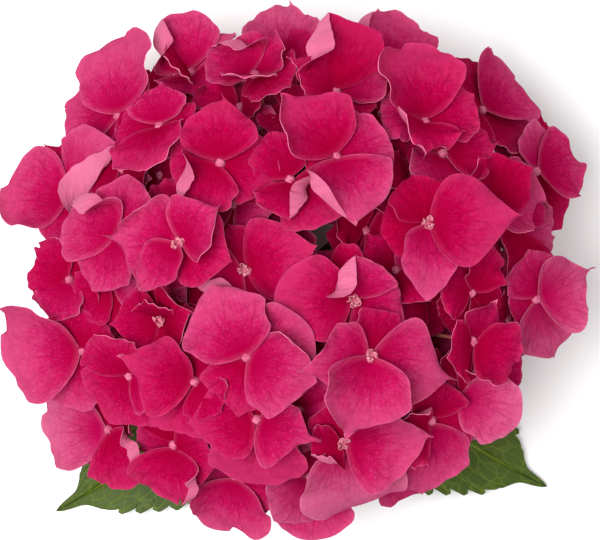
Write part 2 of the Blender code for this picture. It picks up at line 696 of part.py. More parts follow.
def neck_and_fork(cluster):
    """A cluster's own stem, from just clear of its ray's tip, and the knot at its top."""
    neck = limb([cluster["foot"], cluster["hub"]], [RAY_TIP, PEDICEL_BASE], RAY_SIDES)
    return [fork(cluster["hub"]), neck]


def sepal_mesh(sepal, matrix, ball):
    mesh = bpy.data.meshes.new("sepal")
    mesh.from_pydata(sepal_coords(sepal, matrix, ball), [], ball[1])
    bm = bmesh.new()
    bm.from_mesh(mesh)
    bpy.data.meshes.remove(mesh)
    bmesh.ops.recalc_face_normals(bm, faces=bm.faces)
    return bm


def main():
    clear_scene()
    pink = material("sepal_pink", PINK, 0.5)
    stem_green = material("stem_green", STEM_GREEN, 0.5)
    leaf_green = material("leaf_green", LEAF_GREEN, 0.45)
    limbs, clusters = grow()
    for name, shape in limbs.items():
        add_object(name, shape, leaf_green if name in LEAVES else stem_green)
    for name, cluster in clusters.items():
        pieces = neck_and_fork(cluster)
        for floret in cluster["florets"]:
            pieces.append(limb(floret.path, floret.radii, PEDICEL_SIDES))
            pieces.extend(sepal_mesh(sepal, matrix, floret.ball) for sepal, matrix in floret.placed)
        fuse(f"cluster_{name}", pieces, pink)


main()
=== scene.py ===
"""Looks of a cut mophead hydrangea flower head, lying face up on a pale table.

The head is grown again by the rule of its solids: florets are settled one after another on a
dome until they lie clear, and each settled floret then gets fine sepals, a bud or stamens and
a stalk. Lengths in the tables are millimetres and angles are degrees.
"""

import math
import random
from collections import namedtuple

import bmesh
import bpy
import numpy as np
from mathutils import Matrix, Vector
from mathutils.bvhtree import BVHTree


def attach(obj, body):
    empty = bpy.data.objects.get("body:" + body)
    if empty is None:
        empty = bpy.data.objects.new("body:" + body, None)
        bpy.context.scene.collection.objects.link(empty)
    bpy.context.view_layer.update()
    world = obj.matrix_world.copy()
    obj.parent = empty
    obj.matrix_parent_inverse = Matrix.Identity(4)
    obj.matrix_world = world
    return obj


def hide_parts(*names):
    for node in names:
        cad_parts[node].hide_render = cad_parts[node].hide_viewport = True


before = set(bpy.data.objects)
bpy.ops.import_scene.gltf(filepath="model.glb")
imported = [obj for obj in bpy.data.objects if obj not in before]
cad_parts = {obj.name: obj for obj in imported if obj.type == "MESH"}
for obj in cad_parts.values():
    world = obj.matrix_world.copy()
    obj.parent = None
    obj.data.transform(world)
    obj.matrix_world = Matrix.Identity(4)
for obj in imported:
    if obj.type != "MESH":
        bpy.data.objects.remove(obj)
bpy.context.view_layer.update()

MM = 0.001
SEED = 11
GAP = 0.3                         # between neighbouring solids, and over the table

# The head: florets stand on a dome round the stem's axis, drawn in underneath.
DOME_RIGHT, DOME_UP = 76, 68      # half widths of the dome, across and up
DOME_RISE, DOME_FALL = 50, 38     # its height over and under its widest level
DOME_FULLNESS = 2.3               # 2 is an ellipsoid, more is fuller at the shoulder
EQUATOR = 46                      # height of the widest level over the table
FACE_TILT = 52                    # how far a floret at the dome's edge leans outwards
FACE_TILT_POWER = 1.2             # how late, on the way out, that lean sets in
HUB_HEIGHT = 30                   # where the clusters' directions are counted from
WELL = (6.0, 10.5, 2.6)           # a gap kept open down to the table: across, up, radius
WELL_TOP, WELL_SIDES = 120, 8

# Stem and rays.
STEM_FOOT, STEM_TOP = 4.2, 2.9    # radii
STEM_HEIGHT = 41
STEM_SIDES = 12
JOINT_HEIGHT, JOINT_RADIUS = 9, 5     # the swelling where the two leaves sit
JOINT_REACH = 3                   # and how far it runs up and down the stem
RAY_BASE, RAY_TIP = 1.5, 1.0      # radii
RAY_SIDES = 5
RAY_SHARE = 0.54                  # how far along the way from the hub to the dome a ray goes
RAY_RISE, RAY_ARRIVE = 4, 10      # pulls on a ray's curve, at the stem and at its tip
INNER_RAYS, OUTER_RAYS = 5, 7
INNER_POLAR, OUTER_POLAR = 36, 80
INNER_TURN, OUTER_TURN = 100, 90  # direction of the first ray of each whorl
INNER_WHORL, OUTER_WHORL = 37.5, 30

# Florets.
PEDICEL_BASE, PEDICEL_TIP = 0.75, 0.6
PEDICEL_SIDES = 3
BUD_RADIUS = 1.55
CLUSTER_STEM = 6                  # from a ray's tip to the knot where its pedicels part
FORK_RADIUS = 2.2
FORK_DEPTH = 0.7                  # where a pedicel starts inside the fork, as a share of that
STEEP = 0.35                      # a floret whose axis rises less than this faces sideways
SIDEWAYS = 0.3                    # one that faces this nearly along X is turned from the vertical
SEPAL_WIDTH = 0.55                # half width as a share of a sepal's length
SEPAL_THICKNESS = 0.30
SEPAL_ROOT = 0.5                  # where a sepal starts, from the floret's axis
SHOULDER, TAPER = 0.70, 0.8       # powers of a sepal's outline at its root and tip
LAYER = 0.5                       # the upper pair's roots over the bud's middle, the lower's under
RINGS_IN = 0.88                   # draws the blade's cross-sections together, clear of its ends

# Leaves: each runs from its petiole at the stem to a tip near the table.
LEAF_THICKNESS = 0.9
LEAF_HALF_WIDTH = 27
LEAF_STEPS = 18                   # teeth along each margin
LEAF_SHOULDER, LEAF_FULLNESS = 0.8, 0.6   # powers: widest place, and roundness of the blade
LEAF_POINT, LEAF_DRAW, LEAF_SPIKE = 0.07, 0.12, 0.25  # its drawn-out tip: length, run-in, width
LEAF_RUN = 52                     # its tip's heading is kept for this far
LEAF_START, LEAF_ARRIVE = 0.33, 0.4       # pulls on its midrib's curve at both ends
LEAF_LIFT = 2                     # how much the petiole climbs as it leaves the stem
LEAF_TROUGH = 0.10                # how much the margins stand over the midrib, per width
TOOTH = 0.10                      # a tooth's depth as a share of the half width
TOOTH_LEAN = 0.5                  # how far its point leans to the leaf's tip, in half steps
PETIOLE = 14
PETIOLE_RADIUS = 1.7
SPINE_STEPS = 40                  # points that a midrib's curve is worked out at
WELD = 0.05                       # points of a blade's tip this near each other are one
NEARLY = 0.01                     # radians or millimetres that count as none
FORK_SIDES, FORK_BANDS = 6, 4
PLACING_SEED, SHAPE_SEED, SHAPE_STEP, HEART_SEED, BUD_SEED = 1000, 7919, 31, 101, 13

Floret = namedtuple("Floret", "x y lift sepals lean toward cup")
Sepal = namedtuple("Sepal", "length rise curl width upper")
Settled = namedtuple("Settled", "number place axis placed orders path radii ball")

# The florets that face up, front ones first: place across and up, lift off the dome, each
# sepal's direction and length, lean and the direction that it leans towards, and cup.
FACE = (
    (-24, 32, 5, ((84, 21), (158, 17), (232, 18), (-8, 18)), 0, 0, 6),
    (-36, 8, 7, ((171, 24), (111, 10), (38, 18), (-20, 18), (234, 18)), 0, 0, 8),
    (-16, -26, 6, ((119, 24), (20, 21), (-20, 22), (261, 20)), 0, 0, 4),
    (11, 34, 6, ((130, 26), (14, 17), (-74, 23), (205, 10)), 0, 0, 8),
    (21, -25, 7, ((190, 23), (-22, 31), (254, 27), (48, 17)), 0, 0, 2),
    (38, 45, 6, ((112, 25), (26, 18), (258, 17), (168, 14)), 12, 180, 22),
    (38, 14, 5, ((-1, 28), (108, 15), (-93, 24), (190, 14)), 8, 180, 14),
    (-3, 27, 2, ((115, 18), (-38, 20), (-88, 15), (198, 9)), 0, 0, 6),
    (-13, -45, 5, ((185, 22), (266, 28), (-20, 20), (100, 15)), 8, 90, 2),
    (-32, -34, 3, ((156, 24), (225, 25), (-45, 14), (50, 14)), 0, 0, 8),
    (44, 36, 1, ((6, 18), (258, 18), (110, 14), (180, 12)), 0, 0, 14),
    (13, -52, 4, ((4, 27), (-80, 31), (200, 10), (100, 14)), 10, 90, 6),
    (16, -9, 1, ((178, 24), (-28, 25), (88, 15), (250, 15)), 0, 0, 10),
    (-17, 0, 0, ((18, 24), (110, 14), (200, 16), (-70, 18)), 0, 0, 10),
    (-53, -33, 4, ((115, 21), (243, 23), (-25, 14), (180, 16)), 8, 0, 8),
    (-45, -16, 1, ((180, 15), (10, 17), (95, 13), (265, 13)), 0, 0, 40),
    (57, 50, 3, ((42, 24), (-25, 20), (125, 18), (215, 14)), 8, 225, 6),
    (57, 23, 1, ((35, 19), (-12, 21), (120, 14), (215, 14)), 0, 0, 14),
    (73, -9, 4, ((28, 23), (-68, 22), (100, 17), (195, 10)), 20, 180, 8),
    (-57, 48, 5, ((84, 28), (166, 25), (-5, 15), (255, 14)), 14, 315, 12),
    (-43, 44, 1, ((268, 21), (178, 16), (80, 14), (-20, 14)), 0, 0, 14),
    (-72, 22, 4, ((40, 27), (118, 24), (172, 23), (270, 16)), 8, 0, 16),
    (-55, 10, 3, ((140, 23), (85, 19), (245, 18), (-30, 13)), 0, 0, 8),
    (-67, -25, 4, ((174, 30), (232, 23), (90, 14), (-10, 14)), 20, 0, 6),
    (-71, -3, 1, ((132, 17), (205, 18), (260, 16), (30, 14)), 10, 0, 10),
    (11, 54, 3, ((103, 25), (30, 21), (160, 22), (-75, 14)), 6, 270, 18),
    (-34, 62, 4, ((115, 21), (38, 18), (205, 14), (-70, 15)), 14, 300, 34),
    (-14, 60, 1, ((155, 16), (55, 16), (255, 14), (-25, 15)), 4, 270, 28),
    (28, 60, 2, ((98, 25), (28, 20), (160, 17), (-70, 14)), 14, 270, 8),
    (-6, 66, -3, ((80, 21), (165, 18), (10, 16), (-90, 12)), 10, 270, 10),
    (-60, -50, 3, ((168, 26), (262, 22), (-50, 20), (75, 14)), 12, 45, 6),
    (-39, -54, 1, ((275, 21), (195, 16), (-10, 18), (90, 14)), 8, 60, 12),
    (-20, -64, 1, ((262, 23), (200, 20), (-20, 16), (90, 12)), 14, 90, 6),
    (3, -64, -2, ((280, 22), (-25, 18), (215, 20), (90, 12)), 12, 90, 10),
    (40, -46, 2, ((262, 27), (-35, 18), (190, 15), (80, 14)), 8, 135, 10),
    (48, -38, 0, ((-14, 24), (-75, 22), (30, 14), (170, 14)), 8, 150, 8),
    (53, -22, 1, ((-25, 19), (60, 14), (200, 15), (-100, 15)), 0, 0, 10),
    (72, 14, 2, ((-97, 31), (-10, 16), (80, 15), (170, 12)), 6, 180, 12),
    (74, 31, 2, ((12, 20), (-50, 24), (100, 16), (190, 12)), 14, 200, 10),
    (52, -7, -2, ((70, 15), (-20, 16), (160, 15), (250, 15)), 0, 0, 14),
    (29, 0, -7, ((40, 17), (130, 15), (-50, 17), (220, 15)), 0, 0, 22),
    (0, -42, -6, ((60, 16), (150, 15), (-30, 16), (240, 15)), 0, 0, 22),
    (-20, 20, -6, ((80, 14), (175, 15), (-10, 15), (265, 16)), 0, 0, 16),
    (57, -30, -3, ((-20, 14), (60, 13), (180, 14), (-95, 17)), 8, 160, 8),
    (70, 44, -3, ((25, 17), (62, 18), (190, 14), (-70, 15)), 10, 210, 8),
    (-56, 32, -6, ((20, 16), (100, 15), (190, 15), (280, 16)), 0, 0, 14),
    (-58, -5, -5, ((35, 16), (125, 14), (215, 15), (305, 16)), 0, 0, 12),
    (-4, 1, -8, ((10, 16), (95, 13), (190, 15), (280, 15)), 0, 0, 14),
    (26, 50, -6, ((10, 15), (100, 15), (190, 15), (280, 16)), 0, 0, 14),
    (34, 29, -6, ((30, 15), (120, 15), (210, 15), (300, 16)), 0, 0, 14),
    (-33, 57, -6, ((20, 15), (110, 14), (200, 15), (290, 15)), 0, 0, 14),
    (-51, 54, -5, ((15, 15), (105, 15), (195, 15), (285, 15)), 0, 0, 12),
    (66, -16, -5, ((0, 15), (90, 15), (180, 15), (270, 15)), 0, 0, 12),
    (20, 12, -14, ((330, 16), (60, 15), (150, 12), (240, 15)), 0, 0, 14),
    (-19, 52, -7, ((10, 15), (100, 14), (190, 15), (280, 15)), 0, 0, 10),
    (-31, 20, -10, ((30, 15), (120, 15), (210, 15), (300, 15)), 0, 0, 10),
    (-45, -2, -10, ((45, 14), (135, 14), (225, 14), (315, 14)), 0, 0, 10),
)

# Smaller florets deeper in the dome, which close it where the front ones leave room.
UNDER_COUNT, UNDER_LIFT, UNDER_LENGTH, UNDER_CUP = 12, -11, 22, 8
UNDER_TURN = 31                   # how much each one is turned from the one before
GOLDEN_ANGLE = 137.5

# The florets under the dome's widest level, ring by ring: height over the table, number,
# tilt away from straight up, and sepal length.
SKIRT = (
    (30, 12, 96, 19),
    (15, 7, 112, 17),
)
SKIRT_CUP = 8

# Small florets inside the dome that close it further, wherever there is room for most of one:
# those over set places first, then many spread over the whole head.
STOPPERS = ((10, 18, -10), (-43, 29, -16), (60, 4, -14), (-30, -4, -16), (36, 20, -16))
STOPPER_LENGTH, STOPPER_CUP, STOPPER_TURN = 13, 10, 25
DEEP_PLACES, DEEP_POLAR = 90, 118     # how many places are tried, and how far round the head
DEEP_DEPTHS = (5, 9, 13)              # how far they are inside the dome's skin
DEEP_LENGTH, DEEP_CUP = 14, 10
LEAST_SEPALS = 3                      # a floret inside the dome that fits with fewer is left out

# Florets whose hearts are open, with stamens; the others are closed buds.
OPEN_HEARTS = {1, 4, 6, 11, 12, 13, 15}

# A sepal with one margin folded flat over it: the fold starts at a share of its half width.
FOLD = {"widest": 0.50, "point": 1.0, "wide": 1.34, "start": 0.40, "run": 0.16,
        "trough": 0.1, "wave": 0.3}
# A sepal with a narrow hem: only the last of its half width turns over.
HEM = {"widest": 0.50, "point": 1.1, "wide": 1.26, "start": 0.66, "run": 0.14, "trough": 0.2}

# The kinds of sepal. widest is where along it is widest, point how finely its end is drawn out,
# wide its width against the rule's; left and right turn its margins up, in degrees.
KINDS = {
    "round": {"widest": 0.60, "point": 0.62, "wide": 1.17},
    "broad": {"widest": 0.52, "point": 1.00, "wide": 1.18},
    "pointed": {"widest": 0.42, "point": 1.60, "wide": 1.14},
    "star": {"widest": 0.32, "point": 2.40, "wide": 1.10},
    "narrow": {"widest": 0.50, "point": 0.95, "wide": 0.74},
    "folded": {**FOLD, "left": 158, "right": 10},
    "folded_back": {**FOLD, "left": 10, "right": 158},
    "hemmed": {**HEM, "left": 150, "right": 25},
    "hemmed_back": {**HEM, "left": 25, "right": 150},
}
COMMON_KINDS = ("round", "broad", "broad", "pointed", "pointed", "star", "narrow", "hemmed")
USUAL_LENGTH, SLENDERNESS = 19, 0.45      # sepals longer than this are slimmer for their length

# The front florets' sepals by kind and by tint, in the order of their directions. Tints run
# from 0, deep, to 3, light. Chance gives the others' kinds and tints.
HABITS = {
    0: ("pointed broad folded_back broad", "1111"),
    1: ("star broad pointed pointed narrow", "21212"),
    2: ("broad round hemmed pointed", "2221"),
    3: ("pointed round hemmed_back narrow", "1221"),
    4: ("star star pointed hemmed", "2221"),
    5: ("round hemmed pointed round", "1112"),
    6: ("pointed broad narrow broad", "1020"),
    7: ("broad broad folded round", "1110"),
    8: ("pointed round star hemmed", "1120"),
    9: ("pointed pointed folded broad", "1111"),
    10: ("pointed hemmed broad broad", "1211"),
    11: ("pointed round folded broad", "2311"),
    12: ("round pointed folded broad", "1221"),
    13: ("pointed broad folded broad", "1121"),
    14: ("broad pointed folded broad", "1122"),
    15: ("pointed pointed pointed hemmed_back", "1011"),
    16: ("round hemmed_back broad round", "2111"),
    17: ("pointed broad hemmed broad", "0211"),
    18: ("star pointed hemmed broad", "3322"),
    19: ("round pointed folded broad", "2222"),
    20: ("round hemmed pointed broad", "1121"),
    21: ("folded_back pointed round broad", "2022"),
    22: ("folded_back broad broad broad", "2221"),
    23: ("round broad folded broad", "2211"),
    24: ("pointed pointed hemmed broad", "1221"),
    25: ("folded pointed star broad", "0211"),
    26: ("folded narrow folded pointed", "2312"),
    27: ("folded_back pointed broad broad", "2231"),
    28: ("hemmed pointed broad broad", "2221"),
    29: ("pointed hemmed broad broad", "3322"),
    30: ("round pointed hemmed broad", "3111"),
    31: ("hemmed pointed pointed broad", "1210"),
    32: ("round broad folded broad", "2322"),
    33: ("round hemmed_back broad broad", "2232"),
    34: ("hemmed pointed broad broad", "2111"),
    35: ("round round folded broad", "3311"),
    36: ("broad pointed hemmed broad", "1210"),
    37: ("pointed hemmed broad broad", "0322"),
    38: ("pointed hemmed narrow broad", "2031"),
    39: ("narrow pointed broad broad", "1010"),
}


# ---------------------------------------------------------------- the dome

def dome_place(x, y, lift):
    """The place over the dome at x, y, and the share of its half width that it is out."""
    share = min(1.0, math.hypot(x / DOME_RIGHT, y / DOME_UP))
    height = EQUATOR + DOME_RISE * math.sqrt(1 - share ** DOME_FULLNESS)
    return Vector((x, y, height + lift)), share


def leaning(polar, turn):
    """The unit vector that leans polar degrees from straight up towards turn."""
    polar, turn = math.radians(polar), math.radians(turn)
    flat = math.sin(polar)
    return Vector((flat * math.cos(turn), flat * math.sin(turn), math.cos(polar)))


def level(turn):
    """The unit vector that runs level towards turn."""
    return leaning(90, turn)


def dome_reach(direction):
    """How far the dome's skin is from the hub in a direction, found by stepping outwards."""
    hub = Vector((0, 0, HUB_HEIGHT))
    reach = 0.0
    while True:
        place = hub + direction * reach
        half_height = DOME_RISE if place.z > EQUATOR else DOME_FALL
        out = math.hypot(place.x / DOME_RIGHT, place.y / DOME_UP) ** DOME_FULLNESS
        if out + (abs(place.z - EQUATOR) / half_height) ** 2 >= 1:
            return reach
        reach += 0.5


def outward(x, y, share):
    """The way that a floret over x, y faces: up on the crown, and leaning out near the edge."""
    return leaning(FACE_TILT * share ** FACE_TILT_POWER, math.degrees(math.atan2(y, x)))


def even_sepals(first, length):
    return tuple((first + quarter * 90, length) for quarter in range(4))


def under_florets():
    """The deeper florets, spaced over the dome as seeds are on a sunflower."""
    for number in range(UNDER_COUNT):
        turn = math.radians(number * GOLDEN_ANGLE)
        out = math.sqrt((number + 0.5) / UNDER_COUNT)
        x, y = DOME_RIGHT * out * math.cos(turn), DOME_UP * out * math.sin(turn)
        place, share = dome_place(x, y, UNDER_LIFT)
        yield place, outward(x, y, share), even_sepals(number * UNDER_TURN, UNDER_LENGTH), UNDER_CUP


def stopper_florets():
    """The florets that close openings, each turned a little from the one before."""
    for number, (x, y, lift) in enumerate(STOPPERS):
        place, share = dome_place(x, y, lift)
        sepals = even_sepals(number * STOPPER_TURN, STOPPER_LENGTH)
        yield place, outward(x, y, share), sepals, STOPPER_CUP


def deep_florets():
    """Places spread evenly over the head, at changing depths inside its skin."""
    span = 1 - math.cos(math.radians(DEEP_POLAR))
    for number in range(DEEP_PLACES):
        polar = math.degrees(math.acos(1 - span * (number + 0.5) / DEEP_PLACES))
        direction = leaning(polar, number * GOLDEN_ANGLE)
        reach = dome_reach(direction) - DEEP_DEPTHS[number % len(DEEP_DEPTHS)]
        place = Vector((0, 0, HUB_HEIGHT)) + direction * reach
        yield place, direction, even_sepals(number * UNDER_TURN, DEEP_LENGTH), DEEP_CUP


def skirt_florets():
    """The hidden florets, spaced evenly round each ring and turned by the golden angle."""
    for ring, (height, count, tilt, length) in enumerate(SKIRT):
        drawn_in = math.sqrt(1 - ((EQUATOR - height) / DOME_FALL) ** 2)
        for number in range(count):
            turn = 360 * (number + ring / 2) / count
            x = DOME_RIGHT * drawn_in * math.cos(math.radians(turn))
            y = DOME_UP * drawn_in * math.sin(math.radians(turn))
            sepals = even_sepals(GOLDEN_ANGLE * number, length)
            yield Vector((x, y, height)), leaning(tilt, turn), sepals, SKIRT_CUP


# ---------------------------------------------------------------- shapes

def limb(path, radii, sides, ends=None):
    """A closed tapering limb: a capped circle pushed along a path of points.

    ends gives the directions that its foot and its top face along, where they matter.
    """
    bm = bmesh.new()
    spine = [Vector(point) for point in path]
    headings = [spine[1] - spine[0]]
    headings += [after - before for before, after in zip(spine, spine[2:])]
    headings.append(spine[-1] - spine[-2])
    if ends:
        headings[0], headings[-1] = ends
    headings = [heading.normalized() for heading in headings]
    turn = headings[0].to_track_quat("Z", "Y")
    matrix = Matrix.LocRotScale(spine[0], turn, None)
    made = bmesh.ops.create_circle(
        bm, cap_ends=True, segments=sides, radius=radii[0], matrix=matrix,
    )
    foot = list({face for vert in made["verts"] for face in vert.link_faces})
    top = foot
    for number in range(1, len(spine)):
        pushed = bmesh.ops.extrude_face_region(bm, geom=top)
        if number > 1:
            bmesh.ops.delete(bm, geom=top, context="FACES_ONLY")
        ring = [item for item in pushed["geom"] if isinstance(item, bmesh.types.BMVert)]
        swing = headings[number - 1].rotation_difference(headings[number])
        scale = radii[number] / radii[number - 1]
        for vert in ring:
            vert.co = spine[number] + swing @ (vert.co - spine[number - 1]) * scale
        top = [item for item in pushed["geom"] if isinstance(item, bmesh.types.BMFace)]
    bmesh.ops.recalc_face_normals(bm, faces=bm.faces)
    return bm


def bend(start, out, end, arrive, steps):
    """Points on the curve from start, leaving along out, to end, arriving along arrive."""
    points = []
    for number in range(steps + 1):
        t = number / steps
        a, b, c, d = (1 - t) ** 3, 3 * t * (1 - t) ** 2, 3 * t * t * (1 - t), t ** 3
        points.append(start * a + (start + out) * b + (end - arrive) * c + end * d)
    return points


def ball_template(bands):
    """Vertices and faces of a ball with three sides, which a sepal is pressed from."""
    bm = bmesh.new()
    bmesh.ops.create_uvsphere(bm, u_segments=3, v_segments=bands, radius=1)
    bmesh.ops.triangulate(bm, faces=bm.faces)
    bm.verts.ensure_lookup_table()
    verts = [vert.co.copy() for vert in bm.verts]
    faces = [[vert.index for vert in face.verts] for face in bm.faces]
    bm.free()
    return verts, faces


FRONT_BALL, BACK_BALL = ball_template(4), ball_template(3)
WIDEST = SHOULDER / (SHOULDER + TAPER)
OUTLINE_PEAK = WIDEST ** SHOULDER * (1 - WIDEST) ** TAPER


def sepal_outline(along):
    """Half width at a place along the midrib, 1 at the widest."""
    return max(0.0, along) ** SHOULDER * max(0.0, 1 - along) ** TAPER / OUTLINE_PEAK


def midrib(sepal, along):
    """Out and up from the root: an arc that starts at the rise and bends by the curl."""
    start = math.radians(sepal.rise)
    bow = math.radians(sepal.curl)
    if abs(bow) < NEARLY:
        out, up = along * math.cos(start), along * math.sin(start)
    else:
        out = (math.sin(start + bow * along) - math.sin(start)) / bow
        up = (math.cos(start) - math.cos(start + bow * along)) / bow
    return out * sepal.length, up * sepal.length, start + bow * along


def sepal_coords(sepal, matrix, ball, extra=0.0):
    """The pressed ball's vertices in place; extra thickens and widens it for trial fits."""
    coords = []
    for vert in ball[0]:
        along = (1 - vert.z) / 2
        pole = math.hypot(vert.x, vert.y) < NEARLY
        if not pole:
            along = 0.5 + (along - 0.5) * RINGS_IN
        across = 0 if pole or abs(vert.x) < NEARLY else math.copysign(1, vert.x)
        over = 0 if pole else (0.5 if across else -0.5)
        out, up, heading = midrib(sepal, along)
        half = sepal.length * sepal.width * sepal_outline(along) + extra / 2
        lift = over * (SEPAL_THICKNESS + extra)
        local = Vector((
            SEPAL_ROOT + out - lift * math.sin(heading),
            across * half,
            up + lift * math.cos(heading) + (LAYER if sepal.upper else -LAYER),
        ))
        coords.append(matrix @ local)
    return coords


# ---------------------------------------------------------------- growing without touching

class Space:
    """What is already in place, as trees of triangles to test a new piece against."""

    def __init__(self):
        self.trees = []

    def add(self, coords, faces, root=None):
        """Put a piece in place; root names the cluster whose fork it grows from."""
        tree = BVHTree.FromPolygons(coords, faces)
        low = Vector([min(c[axis] for c in coords) for axis in range(3)])
        high = Vector([max(c[axis] for c in coords) for axis in range(3)])
        self.trees.append((tree, low, high, root))

    def free(self, coords, faces, root=None):
        """Whether a piece touches nothing, its own cluster's fork and pedicels apart."""
        low = Vector([min(c[axis] for c in coords) for axis in range(3)])
        if low.z < GAP:
            return False
        high = Vector([max(c[axis] for c in coords) for axis in range(3)])
        tree = None
        for other, other_low, other_high, other_root in self.trees:
            if root and root == other_root:
                continue
            if any(low[a] > other_high[a] or high[a] < other_low[a] for a in range(3)):
                continue
            tree = tree or BVHTree.FromPolygons(coords, faces)
            if tree.overlap(other):
                return False
        return True


def bmesh_arrays(bm):
    bm.verts.index_update()
    coords = [vert.co.copy() for vert in bm.verts]
    return coords, [[vert.index for vert in face.verts] for face in bm.faces]


# What is tried, in this order, until a floret fits: sinking it along its axis, raising or
# drooping a sepal, shortening the sepal, and bending the pedicel aside.
SINKS = [0, 1, 2, 3, 4.5, 6, 8, 10, 12, 14]
RISES = [0, 4, 8, 12, 17, 24, -5, -10, 32, 44]
SIZES = [1, 0.92, 0.84, 0.76]
SWERVES, SWERVE_STEP, SWERVE_SHARE = 7, 60, 0.25
PEDICEL_PULL = 0.4                # pull on a pedicel's curve, as a share of its length
SPREAD = 4                        # how much more the upper pair rises than the lower pair
RISE_SCATTER, CURL_SCATTER = 3, 20    # how much sepals differ in their rise and droop
WIDTH_LEAST, WIDTH_SCATTER = 0.93, 0.12   # and in their width
CLEARANCE = 0.15                  # how much thicker a sepal is while it is tried
# What each change costs: per degree of rise, per share of length, per sepal left out, per
# millimetre of sinking. A place that costs less than the last figure is taken at once.
RISE_COST, SIZE_COST, MISSING_COST, SINK_COST, CHEAP = 1 / 40, 4, 5, 1 / 12, 0.8


def facing(axis):
    """Axes with the floret's own up along axis, and its zero turn towards +X of the head."""
    right = Vector((1, 0, 0)) - axis * axis.x
    if right.length < SIDEWAYS:
        right = Vector((0, 0, -1)) + axis * axis.z
    right.normalize()
    ahead = axis.cross(right)
    return Matrix((right, ahead, axis)).transposed().to_4x4()


def sepal_matrix(place, axis, turn):
    """The frame of one sepal: its X runs out along turn, as seen from straight above."""
    flat = level(turn)
    if axis.z > STEEP:
        slope = -(flat.x * axis.x + flat.y * axis.y) / axis.z
        outward_turn = Vector((flat.x, flat.y, slope)).normalized()
    else:
        outward_turn = facing(axis).to_3x3() @ flat
    across = axis.cross(outward_turn)
    matrix = Matrix((outward_turn, across, axis)).transposed().to_4x4()
    matrix.translation = place
    return matrix


def settle_pedicel(space, place, axis, cluster):
    """The path and radii of a pedicel that keeps clear of other clusters, or None."""
    hub = cluster["hub"]
    base = place - axis * BUD_RADIUS
    way = base - hub
    start = hub + way.normalized() * FORK_RADIUS * FORK_DEPTH
    radii = [PEDICEL_BASE, PEDICEL_TIP, PEDICEL_TIP, BUD_RADIUS]
    for swerve in range(SWERVES):
        out = way * PEDICEL_PULL
        if swerve:
            out = out + level(swerve * SWERVE_STEP) * SWERVE_SHARE * way.length
        path = bend(start, out, base, axis * PEDICEL_PULL * way.length, 2)
        path.append(place + axis * BUD_RADIUS)
        bm = limb(path, [radius + CLEARANCE / 2 for radius in radii], PEDICEL_SIDES)
        coords, faces = bmesh_arrays(bm)
        bm.free()
        if space.free(coords, faces, cluster["name"]):
            return path, radii
    return None


def settle_sepal(space, matrix, length, cup, upper, dice, ball):
    """A sepal that lies clear of what is in place, or None, and what its changes cost."""
    rise_scatter, curl_scatter, width_scatter = [dice.random() for _ in range(3)]
    away = 1 if upper else -1
    width = SEPAL_WIDTH * (WIDTH_LEAST + width_scatter * WIDTH_SCATTER)
    for size in SIZES:
        for rise in RISES:
            angle = cup + away * (SPREAD / 2 + rise_scatter * RISE_SCATTER + rise)
            sepal = Sepal(length * size, angle, -curl_scatter * CURL_SCATTER, width, upper)
            if space.free(sepal_coords(sepal, matrix, ball, CLEARANCE), ball[1]):
                return sepal, abs(rise) * RISE_COST + (1 - size) * SIZE_COST
    return None, MISSING_COST


def try_floret(space, place, axis, sepals, cup, cluster, number, ball):
    """A floret at a place and what it costs there, or None if its pedicel has no way to it."""
    dice = random.Random(SEED * PLACING_SEED + number)
    pedicel = settle_pedicel(space, place, axis, cluster)
    if pedicel is None:
        return None, 0
    placed, orders, total = [], [], 0.0
    for order, (turn, length) in enumerate(sepals):
        matrix = sepal_matrix(place, axis, turn)
        upper = order % 2 == 0
        sepal, cost = settle_sepal(space, matrix, length, cup, upper, dice, ball)
        total += cost
        if sepal:
            placed.append((sepal, matrix))
            orders.append(order)
    return Settled(number, place, axis, placed, orders, *pedicel, ball), total


def settle(space, place, axis, sepals, cup, cluster, number, ball):
    """Sink a floret along its axis until its sepals lie clear of what is in place."""
    best, best_cost = None, math.inf
    for sink in SINKS:
        at = place - axis * sink
        trial, cost = try_floret(space, at, axis, sepals, cup, cluster, number, ball)
        cost += sink * SINK_COST
        if trial and cost < best_cost:
            best, best_cost = trial, cost
        if trial and cost < CHEAP:
            break
    return best


# ---------------------------------------------------------------- limbs and leaves

def stem_radius(height):
    return STEM_FOOT + (STEM_TOP - STEM_FOOT) * height / STEM_HEIGHT


def stem():
    """The stem, straight up from its cut foot, with the joint that carries the leaves."""
    low, high = JOINT_HEIGHT - JOINT_REACH, JOINT_HEIGHT + JOINT_REACH
    heights = [0, low, JOINT_HEIGHT, high, OUTER_WHORL, STEM_HEIGHT]
    radii = [stem_radius(height) for height in heights]
    radii[2] = JOINT_RADIUS
    return limb([(0, 0, height) for height in heights], radii, STEM_SIDES)


def ray_names():
    """Each ray's name with its polar angle, its turn and its whorl's height."""
    yield "top", 0, 0, STEM_HEIGHT
    for number in range(INNER_RAYS):
        turn = INNER_TURN + number * 360 / INNER_RAYS
        yield f"inner_{number + 1}", INNER_POLAR, turn, INNER_WHORL
    for number in range(OUTER_RAYS):
        turn = OUTER_TURN + number * 360 / OUTER_RAYS
        yield f"outer_{number + 1}", OUTER_POLAR, turn, OUTER_WHORL


def ray_path(polar, turn, whorl):
    """A ray's path, and the directions that it leaves the stem and reaches its tip along."""
    direction = leaning(polar, turn)
    tip = Vector((0, 0, HUB_HEIGHT)) + direction * dome_reach(direction) * RAY_SHARE
    if polar == 0:
        start = Vector((0, 0, STEM_HEIGHT + GAP))
        return [start, (start + tip) / 2, tip], direction, direction
    out = level(turn)
    start = Vector((0, 0, whorl)) + out * (stem_radius(whorl) + GAP)
    return bend(start, out * RAY_RISE, tip, direction * RAY_ARRIVE, 3), out, direction


